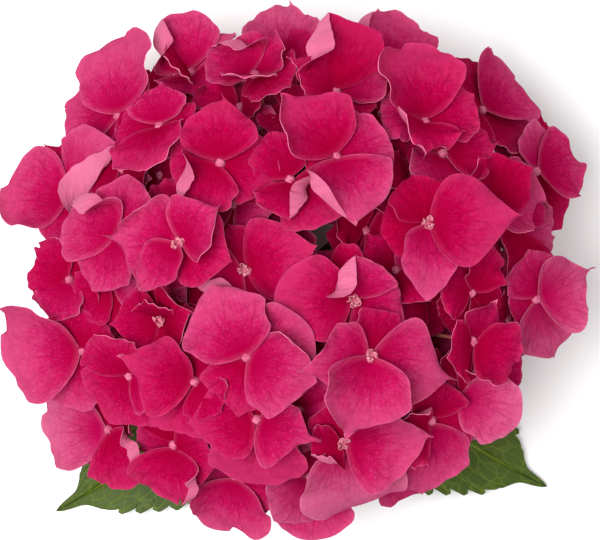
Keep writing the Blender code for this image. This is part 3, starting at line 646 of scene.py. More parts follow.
def leaf_outline(blade):
    """Half width of a leaf's blade, 1 at the widest: broad, then drawn out to a long tip."""
    body = max(0.0, math.sin(math.pi * min(1.0, blade) ** LEAF_SHOULDER)) ** LEAF_FULLNESS
    ramp = min(1.0, max(0.0, (1 - blade - LEAF_POINT) / LEAF_DRAW))
    return body * (LEAF_SPIKE + (1 - LEAF_SPIKE) * ramp * ramp * (3 - 2 * ramp))


def leaf_frame(spine, along):
    """The midrib's place at a share of its way, and the level direction across it."""
    at = along * (len(spine) - 1)
    low = min(int(at), len(spine) - 2)
    centre = spine[low].lerp(spine[low + 1], at - low)
    heading = spine[low + 1] - spine[low]
    across = Vector((-heading.y, heading.x, 0)).normalized()
    return centre, across


def leaf_spine(tip, heading):
    """The midrib's curve from the stem to the tip, and how far apart its ends are."""
    tip = Vector(tip)
    out = Vector(heading).normalized()
    before = tip - out * LEAF_RUN
    start_turn = Vector((before.x, before.y, 0)).normalized()
    start = Vector((0, 0, JOINT_HEIGHT)) + start_turn * (JOINT_RADIUS + GAP)
    reach = (tip - start).length
    climb = start_turn * reach * LEAF_START + Vector((0, 0, LEAF_LIFT))
    return bend(start, climb, tip, out * reach * LEAF_ARRIVE, SPINE_STEPS), reach


def leaf(tip, heading):
    """A leaf's solid, which the florets keep clear of."""
    spine, reach = leaf_spine(tip, heading)
    bm = bmesh.new()
    rows = LEAF_STEPS * 2
    bmesh.ops.create_grid(bm, x_segments=rows, y_segments=2, size=1)
    for vert in bm.verts:
        along = (vert.co.x + 1) / 2
        row = round(along * rows)
        side = vert.co.y
        centre, across = leaf_frame(spine, along)
        blade = max(0.0, (along * reach - PETIOLE) / (reach - PETIOLE))
        half = max(PETIOLE_RADIUS * (1 - blade), leaf_outline(blade) * LEAF_HALF_WIDTH)
        if row % 2 and abs(side) > 0.5 and 0 < blade < 1:
            half *= 1 + TOOTH
            centre = leaf_frame(spine, along + TOOTH_LEAN / rows)[0]
        vert.co = centre + across * side * half
        vert.co.z += abs(side) * half * LEAF_TROUGH
    bmesh.ops.remove_doubles(bm, verts=bm.verts, dist=WELD)
    bmesh.ops.recalc_face_normals(bm, faces=bm.faces)
    bmesh.ops.solidify(bm, geom=list(bm.faces), thickness=LEAF_THICKNESS)
    bmesh.ops.recalc_face_normals(bm, faces=bm.faces)
    bmesh.ops.triangulate(bm, faces=bm.faces)
    return bm


LEAVES = {
    "leaf_left": ((-80, -79, 1.5), (-0.88, -0.47, 0)),
    "leaf_right": ((81, -71, 1.5), (0.90, -0.43, 0)),
}


# ---------------------------------------------------------------- clusters

def fork(hub):
    """The knot at a cluster's middle that its pedicels grow from."""
    bm = bmesh.new()
    matrix = Matrix.Translation(hub)
    bmesh.ops.create_uvsphere(
        bm, u_segments=FORK_SIDES, v_segments=FORK_BANDS, radius=FORK_RADIUS, matrix=matrix,
    )
    return bm


def neck_and_fork(cluster):
    """A cluster's own stem, from just clear of its ray's tip, and the knot at its top."""
    neck = limb([cluster["foot"], cluster["hub"]], [RAY_TIP, PEDICEL_BASE], RAY_SIDES)
    return [fork(cluster["hub"]), neck]


def seats():
    """Where each floret is first tried: its place, the way it faces, its sepals and its cup."""
    for row in FACE:
        floret = Floret(*row)
        place, share = dome_place(floret.x, floret.y, floret.lift)
        axis = outward(floret.x, floret.y, share)
        lean = level(floret.toward) * math.tan(math.radians(floret.lean))
        axis = (axis + lean).normalized()
        yield place, axis, floret.sepals, floret.cup
    yield from under_florets()
    yield from skirt_florets()
    yield from stopper_florets()
    yield from deep_florets()


def grow():
    """Settle every floret clear of the limbs and of one another, and return the clusters."""
    space = Space()
    well_x, well_y, well_radius = WELL
    well = limb([(well_x, well_y, 0), (well_x, well_y, WELL_TOP)], [well_radius] * 2, WELL_SIDES)
    space.add(*bmesh_arrays(well))
    well.free()
    limbs = {"stem": stem()}
    for name, (tip, heading) in LEAVES.items():
        limbs[name] = leaf(tip, heading)
    clusters = {}
    for name, polar, turn, whorl in ray_names():
        path, out, direction = ray_path(polar, turn, whorl)
        radii = [RAY_BASE + (RAY_TIP - RAY_BASE) * n / (len(path) - 1) for n in range(len(path))]
        limbs[f"ray_{name}"] = limb(path, radii, RAY_SIDES, (out, direction))
        foot = path[-1] + direction * GAP
        hub = foot + direction * CLUSTER_STEM
        clusters[name] = {
            "name": name, "foot": foot, "hub": hub, "direction": direction, "florets": [],
        }
    for shape in limbs.values():
        space.add(*bmesh_arrays(shape))
    for name, cluster in clusters.items():
        for piece in neck_and_fork(cluster):
            space.add(*bmesh_arrays(piece), root=name)
            piece.free()

    for number, (place, axis, sepals, cup) in enumerate(seats()):
        way = (place - Vector((0, 0, HUB_HEIGHT))).normalized()
        cluster = max(clusters.values(), key=lambda item: item["direction"].dot(way))
        ball = FRONT_BALL if number < len(FACE) else BACK_BALL
        settled = settle(space, place, axis, sepals, cup, cluster, number, ball)
        inside = number >= len(FACE) + UNDER_COUNT + sum(count for _, count, _, _ in SKIRT)
        if settled is None or inside and len(settled.placed) < LEAST_SEPALS:
            continue
        for sepal, matrix in settled.placed:
            space.add(sepal_coords(sepal, matrix, ball), ball[1])
        pedicel = limb(settled.path, settled.radii, PEDICEL_SIDES)
        space.add(*bmesh_arrays(pedicel), root=cluster["name"])
        pedicel.free()
        cluster["florets"].append(settled)
    return clusters


# ---------------------------------------------------------------- fine meshes

SHARP_EDGE = math.radians(60)      # faces that meet at more than this are shaded apart


class Mesh:
    """Vertices, faces, finishes and blade coordinates that pile up into one joined piece."""

    def __init__(self):
        self.coords, self.faces, self.finish, self.flat, self.margin = [], [], [], [], []
        self.count = 0

    def add(self, coords, faces, finish, flat=None, margin=None):
        """Pile one shape on; faces is an array of corners in fours, finish one number a face."""
        coords = np.asarray(coords, float)
        self.coords.append(coords)
        faces = np.asarray(faces, int)
        self.faces.append(np.where(faces < 0, -1, faces + self.count))
        self.finish.append(np.broadcast_to(finish, len(faces)))
        self.flat.append(np.zeros((len(coords), 2)) if flat is None else flat)
        self.margin.append(np.zeros(len(coords)) if margin is None else margin)
        self.count += len(coords)

    def piece(self, name, finishes, slot, nodes):
        """The joined object, riding on the root body in place of its CAD nodes."""
        coords, faces = np.concatenate(self.coords) * MM, np.concatenate(self.faces)
        mesh = bpy.data.meshes.new(name)
        mesh.vertices.add(len(coords))
        mesh.vertices.foreach_set("co", coords.astype(np.float32).ravel())
        sizes = (faces >= 0).sum(axis=1)
        corners = faces[faces >= 0]
        mesh.loops.add(int(sizes.sum()))
        mesh.polygons.add(len(sizes))
        mesh.loops.foreach_set("vertex_index", corners.astype(np.int32))
        mesh.polygons.foreach_set("loop_start", (np.cumsum(sizes) - sizes).astype(np.int32))
        mesh.polygons.foreach_set("material_index", np.concatenate(self.finish).astype(np.int32))
        mesh.polygons.foreach_set("use_smooth", np.ones(len(sizes), bool))
        mesh.update(calc_edges=True)
        layer = mesh.uv_layers.new(name="blade")
        layer.data.foreach_set("uv", np.concatenate(self.flat)[corners].astype(np.float32).ravel())
        shade = mesh.attributes.new("margin", "FLOAT", "POINT")
        shade.data.foreach_set("value", np.concatenate(self.margin).astype(np.float32))
        mesh.update(calc_edges=True)
        mesh.validate()
        mesh.set_sharp_from_angle(angle=SHARP_EDGE)
        for finish in finishes:
            mesh.materials.append(finish)
        made = bpy.data.objects.new(name, mesh)
        bpy.context.scene.collection.objects.link(made)
        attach(made, "root")
        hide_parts(*nodes)


def shape_arrays(bm):
    """A bmesh's vertices, and its faces as rows of four corners, the last -1 on a triangle."""
    bm.verts.index_update()
    coords = np.array([vert.co[:] for vert in bm.verts])
    rows = []
    for face in bm.faces:
        corners = [vert.index for vert in face.verts]
        if len(corners) > 4:
            first = corners[0]
            rows.extend([first, b, c, -1] for b, c in zip(corners[1:], corners[2:]))
        else:
            rows.append(corners + [-1] * (4 - len(corners)))
    bm.free()
    return coords, np.array(rows)


def tube(path, radii, sides):
    """A round limb's vertices and faces."""
    return shape_arrays(limb(path, radii, sides))


# ---------------------------------------------------------------- fine sepals

BLADE_STEPS = 16                  # squares along and across a sepal's blade
BLADE_THICKNESS, RIM_THINNING = 0.36, 0.55    # in its middle, and the share it loses at its rim
FACE_SIDE, BACK_SIDE, RIM_SIDE = 0, 1, 2
FLAT_SCALE = 60                   # millimetres to one unit of the blade map
FLAT_SHEET = 0.1                  # thickness of a square sheet before it takes its form
LEAST_ROOM, LEAST_BEND = 0.02, 1e-3       # smaller ones aren't divided by
MIDRIB_STEPS = 40
TIP_BEND = (0.55, 1.0)            # along here the tip bends on
ROLL_START = 0.35                 # share of the half width that stays flat under a rolled margin
ROLL_IN, WAVE_IN = (0.05, 0.5), (0.1, 0.5)    # along here margins begin to roll and to wave
SWELL = 0.06                      # how much a wave widens the blade
OTHER_BEAT = 0.37                 # how far one margin's waves are ahead of the other's
RUFFLE, RUFFLE_BEATS = 0.42, 2.7  # a finer wave: its height, and its beats to one of the first
MARGIN_POWER, TROUGH_POWER = 2.2, 1.5     # how near the margin waves are, and the root's trough
RIBS, RIB_DEPTH = 16, 0.10        # how many radial folds fill a turn, and how deep they are
RIBS_IN, TROUGH_OUT = (0.1, 0.5), (0.3, 1.0)  # where these folds begin and the root's trough ends
ROOT_ROUND, ROOT_FULL, TIP_ROUND = 2.6, 0.65, 1.7     # powers of a sepal's outline

# A sepal's own form: where it is widest, its point and width; where its margins start to turn
# and over how much, its tip's bend and both margins' turns in degrees; the trough at its root;
# its waves' height, number and phase; its skew, and its tint.
Shape = namedtuple(
    "Shape", "widest point wide start run tip left right trough wave waves phase skew tint",
)


def blade_template():
    """A thin closed square sheet, drawn into a disc: its points along, across and up or down."""
    bm = bmesh.new()
    bmesh.ops.create_grid(bm, x_segments=BLADE_STEPS, y_segments=BLADE_STEPS, size=1)
    bmesh.ops.solidify(bm, geom=list(bm.faces), thickness=FLAT_SHEET)
    middle = sum(vert.co.z for vert in bm.verts) / len(bm.verts)
    bmesh.ops.recalc_face_normals(bm, faces=bm.faces)
    bm.verts.index_update()
    square = np.array([vert.co[:] for vert in bm.verts])
    u, v = np.clip(square[:, 0], -1, 1), np.clip(square[:, 1], -1, 1)
    disc_x, disc_y = u * np.sqrt(1 - v * v / 2), v * np.sqrt(1 - u * u / 2)
    along = (1 + disc_x) / 2
    room = np.sqrt(np.maximum(1 - disc_x ** 2, 0))
    across = np.clip(disc_y / np.maximum(room, LEAST_ROOM), -1, 1)
    across = np.where(room > LEAST_ROOM, across, 0)
    side = np.where(square[:, 2] > middle, 1.0, -1.0)
    rim = np.hypot(disc_x, disc_y)
    faces, sides = [], []
    for face in bm.faces:
        corners = [vert.index for vert in face.verts]
        up = sum(side[corner] for corner in corners) / 4
        faces.append(corners)
        sides.append(FACE_SIDE if up > 0.5 else BACK_SIDE if up < -0.5 else RIM_SIDE)
    bm.free()
    return along, across, side, rim, np.array(faces), np.array(sides)


def smooth(value, low, high):
    share = np.clip((value - low) / (high - low), 0, 1)
    return share * share * (3 - 2 * share)


def rolled(share, start, run, roll):
    """Out and up along a margin that is flat, bends by roll over run, and is flat; its turn."""
    bend_by = roll / run
    past = np.maximum(share - start, 0)
    bent, after = np.minimum(past, run), np.maximum(past - run, 0)
    slight = np.abs(bend_by) < LEAST_BEND
    safe = np.where(slight, LEAST_BEND, bend_by)
    out = np.where(slight, bent, np.sin(bend_by * bent) / safe)
    up = np.where(slight, 0, (1 - np.cos(bend_by * bent)) / safe)
    out = np.minimum(share, start) + out + after * np.cos(roll)
    return out, up + after * np.sin(roll), bend_by * bent


def outline(along, shape):
    """Half width along a sepal, 1 at its widest: broad at the root, blunt or drawn to a point."""
    before = np.clip(1 - along / shape.widest, 0, 1)
    after = np.clip((along - shape.widest) / (1 - shape.widest), 0, 1)
    return (1 - before ** ROOT_ROUND) ** ROOT_FULL * (1 - after ** TIP_ROUND) ** shape.point


def blade(sepal, matrix, shape, template):
    """A fine sepal's vertices in place, with its flat coordinates and nearness to the margin."""
    along, across, side, rim = template[:4]
    steps = np.linspace(0, 1, MIDRIB_STEPS + 1)
    heading = np.radians(sepal.rise) + np.radians(sepal.curl) * steps
    heading = heading + np.radians(shape.tip) * smooth(steps, *TIP_BEND)
    middle = (heading[1:] + heading[:-1]) / 2
    run = np.concatenate([[0], np.cumsum(np.cos(middle))]) / MIDRIB_STEPS * sepal.length
    climb = np.concatenate([[0], np.cumsum(np.sin(middle))]) / MIDRIB_STEPS * sepal.length
    out = np.interp(along, steps, run)
    up = np.interp(along, steps, climb)
    turn = np.interp(along, steps, heading)

    beat = 2 * math.pi * (shape.waves * along + shape.phase + np.where(across > 0, OTHER_BEAT, 0))
    half = sepal.length * sepal.width * shape.wide * outline(along, shape)
    half = half * (1 + SWELL * np.cos(beat))
    share = np.abs(across)
    roll = np.radians(np.where(across > 0, shape.left, shape.right)) * smooth(along, *ROLL_IN)
    wide, lift, tilt = rolled(share, shape.start, shape.run, roll)
    skin = side * BLADE_THICKNESS / 2 * (1 - RIM_THINNING * rim ** 2)
    wave = shape.wave * np.sin(beat) + RUFFLE * np.sin(beat * RUFFLE_BEATS)
    wave = wave * share ** MARGIN_POWER * smooth(along, *WAVE_IN)
    ribs = np.arctan2(across * half, along * sepal.length + 0.5) * RIBS
    relief = -RIB_DEPTH * np.cos(ribs) * smooth(rim, *RIBS_IN)
    trough = shape.trough * share ** TROUGH_POWER * (1 - smooth(along, *TROUGH_OUT))
    height = (lift + trough) * half + wave + relief + skin * np.cos(tilt)
    sideways = np.sign(across) * (wide * half - skin * np.sin(tilt))
    sideways = sideways + shape.skew * along ** 2 * sepal.length * 0.5

    local = np.stack([
        SEPAL_ROOT + out - height * np.sin(turn),
        sideways,
        up + height * np.cos(turn) + (LAYER if sepal.upper else -LAYER),
    ], axis=1)
    turned = np.array(matrix.to_3x3())
    coords = local @ turned.T + np.array(matrix.translation)
    flat = np.stack([along * sepal.length / FLAT_SCALE, across * half / FLAT_SCALE + 0.5], axis=1)
    return coords, flat, rim


# What chance deals out to a sepal's shape, in the order that it is drawn.
CHANCE = {
    "tip": (-50, 10),
    "left": (-40, 65),
    "right": (-40, 65),
    "trough": (0.08, 0.5),
    "wave": (0.8, 2.4),
    "waves": (1.2, 2.8),
    "phase": (0, 1),
    "skew": (-0.16, 0.16),
}
COMMON_TINTS = (0, 0, 1, 1, 2, 3)


def drawn_shape(number, order, length):
    """A sepal's own shape: kind and tint from the front florets' habits, the rest by chance."""
    dice = random.Random(SEED * SHAPE_SEED + number * SHAPE_STEP + order)
    values = {key: dice.uniform(*span) for key, span in CHANCE.items()}
    values.update(start=ROLL_START, run=1 - ROLL_START, tint=dice.choice(COMMON_TINTS))
    kind = dice.choice(COMMON_KINDS)
    if number in HABITS:
        kinds, tints = HABITS[number]
        kind = (kinds.split() + ["broad"])[order]
        values["tint"] = int((tints + tints[-1])[order])
    values.update(KINDS[kind])
    values["wide"] *= (USUAL_LENGTH / length) ** SLENDERNESS
    return Shape(**values)


# What is tried until a fine sepal lies clear of the others: calming its folds, nudging its rise,
# and drawing it in a little.
CALMS = (1, 0.75, 0.5, 0.25, 0.1)
NUDGES = (0, 4, 8, -3, 13)
SHRINKS = (1, 0.93, 0.85)
HIDDEN_CALMS, HIDDEN_NUDGES, HIDDEN_SHRINKS = (0.6, 0.1), (0, 6), (1, 0.85)
OWN_CLEAR = 0.15                  # sepals of one floret may meet over this share of their length


class Crowd:
    """The fine sepals in place: two trees of faces each, and the floret that it belongs to."""

    def __init__(self, template):
        along, faces = template[0], template[4]
        past_root = along[faces].mean(axis=1) > OWN_CLEAR
        self.faces, self.outer_faces = faces.tolist(), faces[past_root].tolist()
        self.trees, self.lows, self.highs = [], [], []

    def add(self, coords, number):
        points = coords.tolist()
        whole = BVHTree.FromPolygons(points, self.faces)
        past_root = BVHTree.FromPolygons(points, self.outer_faces)
        self.trees.append((whole, past_root, number))
        self.lows.append(coords.min(axis=0))
        self.highs.append(coords.max(axis=0))

    def free(self, coords, number):
        """Whether a sepal touches no other, where its own floret's may meet at their roots."""
        low, high = coords.min(axis=0), coords.max(axis=0)
        if low[2] < GAP:
            return False
        if not self.trees:
            return True
        near = (np.array(self.lows) <= high).all(axis=1) & (np.array(self.highs) >= low).all(axis=1)
        points = coords.tolist()
        whole = past_root = None
        for index in np.flatnonzero(near):
            other, other_past_root, owner = self.trees[index]
            if owner == number:
                past_root = past_root or BVHTree.FromPolygons(points, self.outer_faces)
                if past_root.overlap(other_past_root):
                    return False
            else:
                whole = whole or BVHTree.FromPolygons(points, self.faces)
                if whole.overlap(other):
                    return False
        return True


def calmed(shape, share):
    """The same sepal with its folds, rolls and waves drawn down to a share."""
    folds = ("tip", "left", "right", "trough", "wave", "skew")
    return shape._replace(**{key: getattr(shape, key) * share for key in folds})


def fit_blade(crowd, sepal, matrix, shape, template, number):
    """A fine sepal that lies clear of the crowd, or else its calmest and smallest trial."""
    calms, nudges, shrinks = CALMS, NUDGES, SHRINKS
    if number >= len(FACE):
        calms, nudges, shrinks = HIDDEN_CALMS, HIDDEN_NUDGES, HIDDEN_SHRINKS
    for shrink in shrinks:
        for nudge in nudges:
            rise = sepal.rise + (nudge if sepal.upper else -nudge)
            trial = sepal._replace(rise=rise, length=sepal.length * shrink)
            for calm in calms:
                made = blade(trial, matrix, calmed(shape, calm), template)
                if crowd.free(made[0], number):
                    return made
    return made


def fit_blades(clusters, template):
    """Every floret's fine sepals with their tints, fitted in the order that the florets settled."""
    crowd = Crowd(template)
    florets = [floret for cluster in clusters.values() for floret in cluster["florets"]]
    fitted = {}
    for floret in sorted(florets, key=lambda item: item.number):
        blades = []
        for order, (sepal, matrix) in zip(floret.orders, floret.placed):
            shape = drawn_shape(floret.number, order, sepal.length)
            made = fit_blade(crowd, sepal, matrix, shape, template, floret.number)
            crowd.add(made[0], floret.number)
            blades.append((*made, shape.tint))
        fitted[floret.number] = blades
    return fitted


# ---------------------------------------------------------------- buds and stamens

BUD_TURNS, BUD_BANDS = 16, 10
BUD_LOBES, BUD_GROOVE, BUD_FLATTEN = 4, 0.16, 0.95
GROOVE_POWER, GROOVE_IN = 6, (-0.4, 0.9)  # how narrow the grooves are, and where they begin
BUD_SIZES = (1.4, 1.65)           # smallest and largest radius of a closed bud
HEART_CUP, CUP_SINK = 1.15, 0.4   # an open heart's cup: its radius, and how deep it sits
STAMENS, STAMEN_STEPS = 11, 7
FILAMENT, FILAMENT_TAPER, FILAMENT_SIDES = 0.24, 0.2, 5
STAMEN_FOOT = 0.3                 # a filament starts this far out and up
STAMEN_REACH, STAMEN_HEIGHT = (1.3, 2.0), (0.9, 1.7)
STAMEN_CURL, STAMEN_ARCH = 2.5, 1.9   # radians, which bring each tip back over the cup
STAMEN_SPACING, STAMEN_SWAY = 0.3, 1.5    # how unevenly they stand, and how far they twist
ANTHER_SIZES = (0.32, 0.45)


def bud(place, axis, size, turn):
    """A closed bud: a small globe with grooves where its petals meet."""
    bm = bmesh.new()
    bmesh.ops.create_uvsphere(bm, u_segments=BUD_TURNS, v_segments=BUD_BANDS, radius=1)
    coords, faces = shape_arrays(bm)
    angle = np.arctan2(coords[:, 1], coords[:, 0])
    groove = np.abs(np.cos(angle * BUD_LOBES / 2)) ** GROOVE_POWER
    groove = groove * smooth(coords[:, 2], *GROOVE_IN)
    radius = size * (1 - BUD_GROOVE * groove)
    coords = coords * radius[:, None] * np.array([1, 1, BUD_FLATTEN])
    turned = np.array(facing(axis).to_3x3()) @ np.array(Matrix.Rotation(turn, 3, "Z"))
    return coords @ turned.T + np.array(place), faces


def opened_heart(mesh, place, axis, number):
    """The centre of an open floret: a low cup in a knot of stamens that curl back inwards."""
    dice = random.Random(SEED * HEART_SEED + number)
    mesh.add(*bud(place - axis * CUP_SINK, axis, HEART_CUP, dice.random()), 0)
    upright = facing(axis).to_3x3()
    steps = range(STAMEN_STEPS + 1)
    for count in range(STAMENS):
        turn = 2 * math.pi * (count + dice.uniform(-STAMEN_SPACING, STAMEN_SPACING)) / STAMENS
        reach, high = dice.uniform(*STAMEN_REACH), dice.uniform(*STAMEN_HEIGHT)
        sway = dice.uniform(-STAMEN_SWAY, STAMEN_SWAY)
        path = []
        for share in (step / STAMEN_STEPS for step in steps):
            angle = turn + sway * share * share
            out = STAMEN_FOOT + reach * math.sin(share * STAMEN_CURL)
            up = STAMEN_FOOT + high * math.sin(share * STAMEN_ARCH)
            point = Vector((out * math.cos(angle), out * math.sin(angle), up))
            path.append(place + upright @ point)
        radii = [FILAMENT * (1 - FILAMENT_TAPER * step / STAMEN_STEPS) for step in steps]
        mesh.add(*tube(path, radii, FILAMENT_SIDES), 1)
        tip = bmesh.new()
        matrix = Matrix.Translation(path[-1])
        size = dice.uniform(*ANTHER_SIZES)
        bmesh.ops.create_icosphere(tip, subdivisions=1, radius=size, matrix=matrix)
        mesh.add(*shape_arrays(tip), 2)


# ---------------------------------------------------------------- leaves

BLADE_ROWS, BLADE_COLUMNS = 216, 24
SIDE_VEINS, VEIN_PACE = 8, 1.25   # pairs of side veins on a leaf, and how close they stand
VEIN_LEAN = 0.42                  # how far a side vein runs forward on its way to the margin
QUILT, MIDRIB_DEPTH = 0.55, 0.5   # puffs between the veins, and the trough of the midrib
LEAF_SHEET = 0.5                  # thickness
FINE_TOOTH, TOOTH_PEAK = 0.13, 0.84   # a tooth's depth by the half width, and where it is deepest
TOOTH_LIFT, TOOTH_FORWARD = -0.05, 2.4    # how far the teeth start inside the outline and lean on
TEETH_END = (0.80, 0.88)          # they die away here, before the drawn-out tip
TIP_FLARE = 2.2                   # how fast the tip widens from its point
# Where each form sets in or ends, across from the midrib or along the blade.
TEETH_IN, LEAN_IN, MARGIN_FLAT, MIDRIB_WIDTH = (0.72, 1.0), (0.8, 1.0), (0.9, 1.0), (0.0, 0.07)
BLADE_IN, STALK_OUT = (0.02, 0.12), (0.0, 0.06)
PUFF_POWER, PUFF_RISE = 0.7, 5    # how full a puff is, and how soon it rises from the midrib


def fine_leaf(name, tip, heading):
    """A toothed leaf with sunken veins, over the midrib's curve of its solid."""
    spine, reach = leaf_spine(tip, heading)
    bm = bmesh.new()
    bmesh.ops.create_grid(bm, x_segments=BLADE_ROWS, y_segments=BLADE_COLUMNS, size=1)
    bmesh.ops.solidify(bm, geom=list(bm.faces), thickness=FLAT_SHEET)
    middle = sum(vert.co.z for vert in bm.verts) / len(bm.verts)
    bmesh.ops.recalc_face_normals(bm, faces=bm.faces)
    flat = []
    for vert in bm.verts:
        along, side = (vert.co.x + 1) / 2, vert.co.y
        up = 1 if vert.co.z > middle else -1
        distance = along * reach
        share = max(0.0, (distance - PETIOLE) / (reach - PETIOLE))
        outline = leaf_outline(share)
        tooth = (share * LEAF_STEPS * reach / (reach - PETIOLE)) % 1
        toothed = 1 - smooth(share, *TEETH_END)
        point = tooth / TOOTH_PEAK if tooth < TOOTH_PEAK else (1 - tooth) / (1 - TOOTH_PEAK)
        teeth = FINE_TOOTH * point * toothed
        half = min(outline * LEAF_HALF_WIDTH, (1 - share) * TIP_FLARE * LEAF_HALF_WIDTH)
        if 0 < share < 1:
            half = half * (1 + (teeth + TOOTH_LIFT) * smooth(abs(side), *TEETH_IN))
        half = max(PETIOLE_RADIUS * (1 - share), half)
        forward = 0
        if share > 0:
            forward = TOOTH_FORWARD * smooth(abs(side), *LEAN_IN) * tooth * toothed
        centre, across = leaf_frame(spine, min(1.0, along + forward / reach))
        vein = SIDE_VEINS * (share * VEIN_PACE - abs(side) * VEIN_LEAN) % 1
        between = math.sin(math.pi * vein) ** PUFF_POWER
        body = smooth(share, *BLADE_IN) * (1 - smooth(abs(side), *MARGIN_FLAT))
        puff = QUILT * between * body * min(1.0, abs(side) * PUFF_RISE) * outline ** 0.5
        trough = -MIDRIB_DEPTH * (1 - smooth(abs(side), *MIDRIB_WIDTH)) * body
        stalk = PETIOLE_RADIUS * math.sqrt(max(0.0, 1 - side * side))
        stalk = stalk * (1 - smooth(share, *STALK_OUT))
        thick = LEAF_SHEET / 2 * (1 - 0.5 * abs(side)) + stalk
        vert.co = centre + across * side * half
        vert.co.z += abs(side) * half * LEAF_TROUGH + (puff + trough) + up * thick
        flat.append((share, side / 2 + 0.5))
    mesh = Mesh()
    mesh.add(*shape_arrays(bm), 0, flat=np.array(flat))
    mesh.piece(f"{name}_blade", [LEAF_GREEN_FINISH], "leaf_green", [name])


# ---------------------------------------------------------------- finishes

class Value:
    """A number that varies over a surface; sums on it add Math nodes to its finish."""

    def __init__(self, finish, socket):
        self.finish, self.socket = finish, socket

    def math(self, operation, *others):
        return self.finish.math(operation, self, *others)

    def __add__(self, other):
        return self.math("ADD", other)

    def __sub__(self, other):
        return self.math("SUBTRACT", other)

    def __rsub__(self, other):
        return self.finish.math("SUBTRACT", other, self)

    def __mul__(self, other):
        return self.math("MULTIPLY", other)

    def __pow__(self, other):
        return self.math("POWER", other)


class Finish:
    """One material, with its nodes written as sums of values."""

    def __init__(self, name, **constants):
        self.material = bpy.data.materials.new(name)
        self.material.use_nodes = True
        self.tree = self.material.node_tree
        self.shader = self.tree.nodes["Principled BSDF"]
        for key, value in constants.items():
            self.set(key.replace("_", " ").title().replace("Ior", "IOR"), value)

    def set(self, socket, value):
        self.feed(self.shader.inputs[socket], value)

    def feed(self, socket, value):
        """Link a value to a socket, or set the socket; colours are given without their alpha."""
        if isinstance(value, Value):
            self.tree.links.new(value.socket, socket)
        elif socket.type == "RGBA":
            socket.default_value = (*value, 1)
        else:
            socket.default_value = value

    def node(self, kind, settings, sockets, output=0):
        """Any node: its settings first, then its sockets by name or number."""
        made = self.tree.nodes.new(kind)
        for key, value in settings.items():
            setattr(made, key, value)
        for key, value in sockets.items():
            self.feed(made.inputs[key], value)
        return Value(self, made.outputs[output])

    def math(self, operation, *values):
        return self.node("ShaderNodeMath", {"operation": operation}, dict(enumerate(values)))

    def ramp(self, value, low, high):
        """0 under low and 1 over high, with soft ends."""
        settings = {"interpolation_type": "SMOOTHSTEP"}
        sockets = {0: value, 1: low, 2: high, 3: 0.0, 4: 1.0}
        return self.node("ShaderNodeMapRange", settings, sockets)

    def mix(self, share, first, second):
        return self.node("ShaderNodeMix", {"data_type": "RGBA"}, {0: share, 6: first, 7: second}, 2)

    def place(self):
        return self.node("ShaderNodeTexCoord", {}, {}, "Object")

    def vector(self, x, y, z=0.0):
        return self.node("ShaderNodeCombineXYZ", {}, {0: x, 1: y, 2: z})

    def noise(self, vector, scale, detail=2.0):
        sockets = {"Vector": vector, "Scale": scale, "Detail": detail}
        return self.node("ShaderNodeTexNoise", {}, sockets)

    def spots(self, vector, scale, detail, low, high):
        """Noise cut to spots with soft borders: 1 inside them, 0 outside."""
        return self.ramp(self.noise(vector, scale, detail), low, high)

    def net(self, vector, scale, randomness, width):
        """The borders of a net of cells: 1 on a border, 0 from its width inwards."""
        settings = {"feature": "DISTANCE_TO_EDGE"}
        sockets = {"Vector": vector, "Scale": scale, "Randomness": randomness}
        return 1 - self.ramp(self.node("ShaderNodeTexVoronoi", settings, sockets), 0.0, width)

    def blade(self):
        """Where a point is along and across a flattened blade, on the blade map."""
        flat = self.node("ShaderNodeUVMap", {"uv_map": "blade"}, {})
        return [self.node("ShaderNodeSeparateXYZ", {}, {0: flat}, output) for output in (0, 1)]

    def margin(self):
        return self.node("ShaderNodeAttribute", {"attribute_name": "margin"}, {}, "Fac")

    def bump(self, height, distance, strength=1.0):
        sockets = {"Height": height, "Distance": distance, "Strength": strength}
        self.set("Normal", self.node("ShaderNodeBump", {}, sockets))

    def let_light_through(self, color, share):
        """Part of the light passes through the thin sheet, coloured by it."""
        through = self.node("ShaderNodeBsdfTranslucent", {}, {"Color": color})
        skin = Value(self, self.shader.outputs[0])
        blend = self.node("ShaderNodeMixShader", {}, {0: share, 1: skin, 2: through})
        self.feed(self.tree.nodes["Material Output"].inputs["Surface"], blend)


# A sepal's veins: a fan of main ones from behind its root, and a finer net between them.
VEIN_ROOT = 1.5                   # how far behind the root the fan's angles are taken
MAIN_FAN, MAIN_REACH, MAIN_SHARE = 5, 0.07, 0.6
FINE_FAN, FINE_REACH, FINE_SHARE = 11, 0.3, 0.5
MAIN_NET, FINE_NET = (1.0, 0.9, 0.09), (1.0, 1.0, 0.16)   # scale, randomness and width
FAN_WANDER, REACH_WANDER, FINE_WANDER = 0.6, 0.3, 2   # how far the veins stray
WANDER_SCALE = 0.35               # how slowly the veins wander
VEINS_FADE, FADE_SHARE = (12, 24), 0.6    # millimetres from the root
VEIN_SHADE, VEIN_SHARE = 0.55, 0.42   # a vein's colour by the root's, and how strong it is

# Spots and patches on a sepal: the noise's scale and detail, and where its ramp starts and ends.
FLECKS = (2.4, 4.0, 0.46, 0.68)
MOTTLE = (0.8, 3.0, 0.40, 0.66)
CLOUD_SCALE, PATCH_SCALE, GRAIN_SCALE = 0.22, 55.0, 5.0
ROOT_REACH, END_REACH = (2.0, 15.0), (9.0, 24.0)  # where the root's colour ends, the end's begins
MARGIN_GLOW, RIM_HIGHLIGHT_BAND = (0.80, 1.0), (0.965, 1.0)  # the paler margin, and the painted rim highlight: a pale line along the very edge
GLOW_RED, GLOW_SHARE = (0.75, 0.001, 0.05), 0.20      # the light that comes through a sepal
RELIEF, RELIEF_STRENGTH = 0.0002, 0.6     # metres
GRAIN_DEPTH, VEIN_DEPTH = 0.25, 0.5   # shares of that relief
FACE_SKIN = {"roughness": 0.7, "specular_ior_level": 0.0}
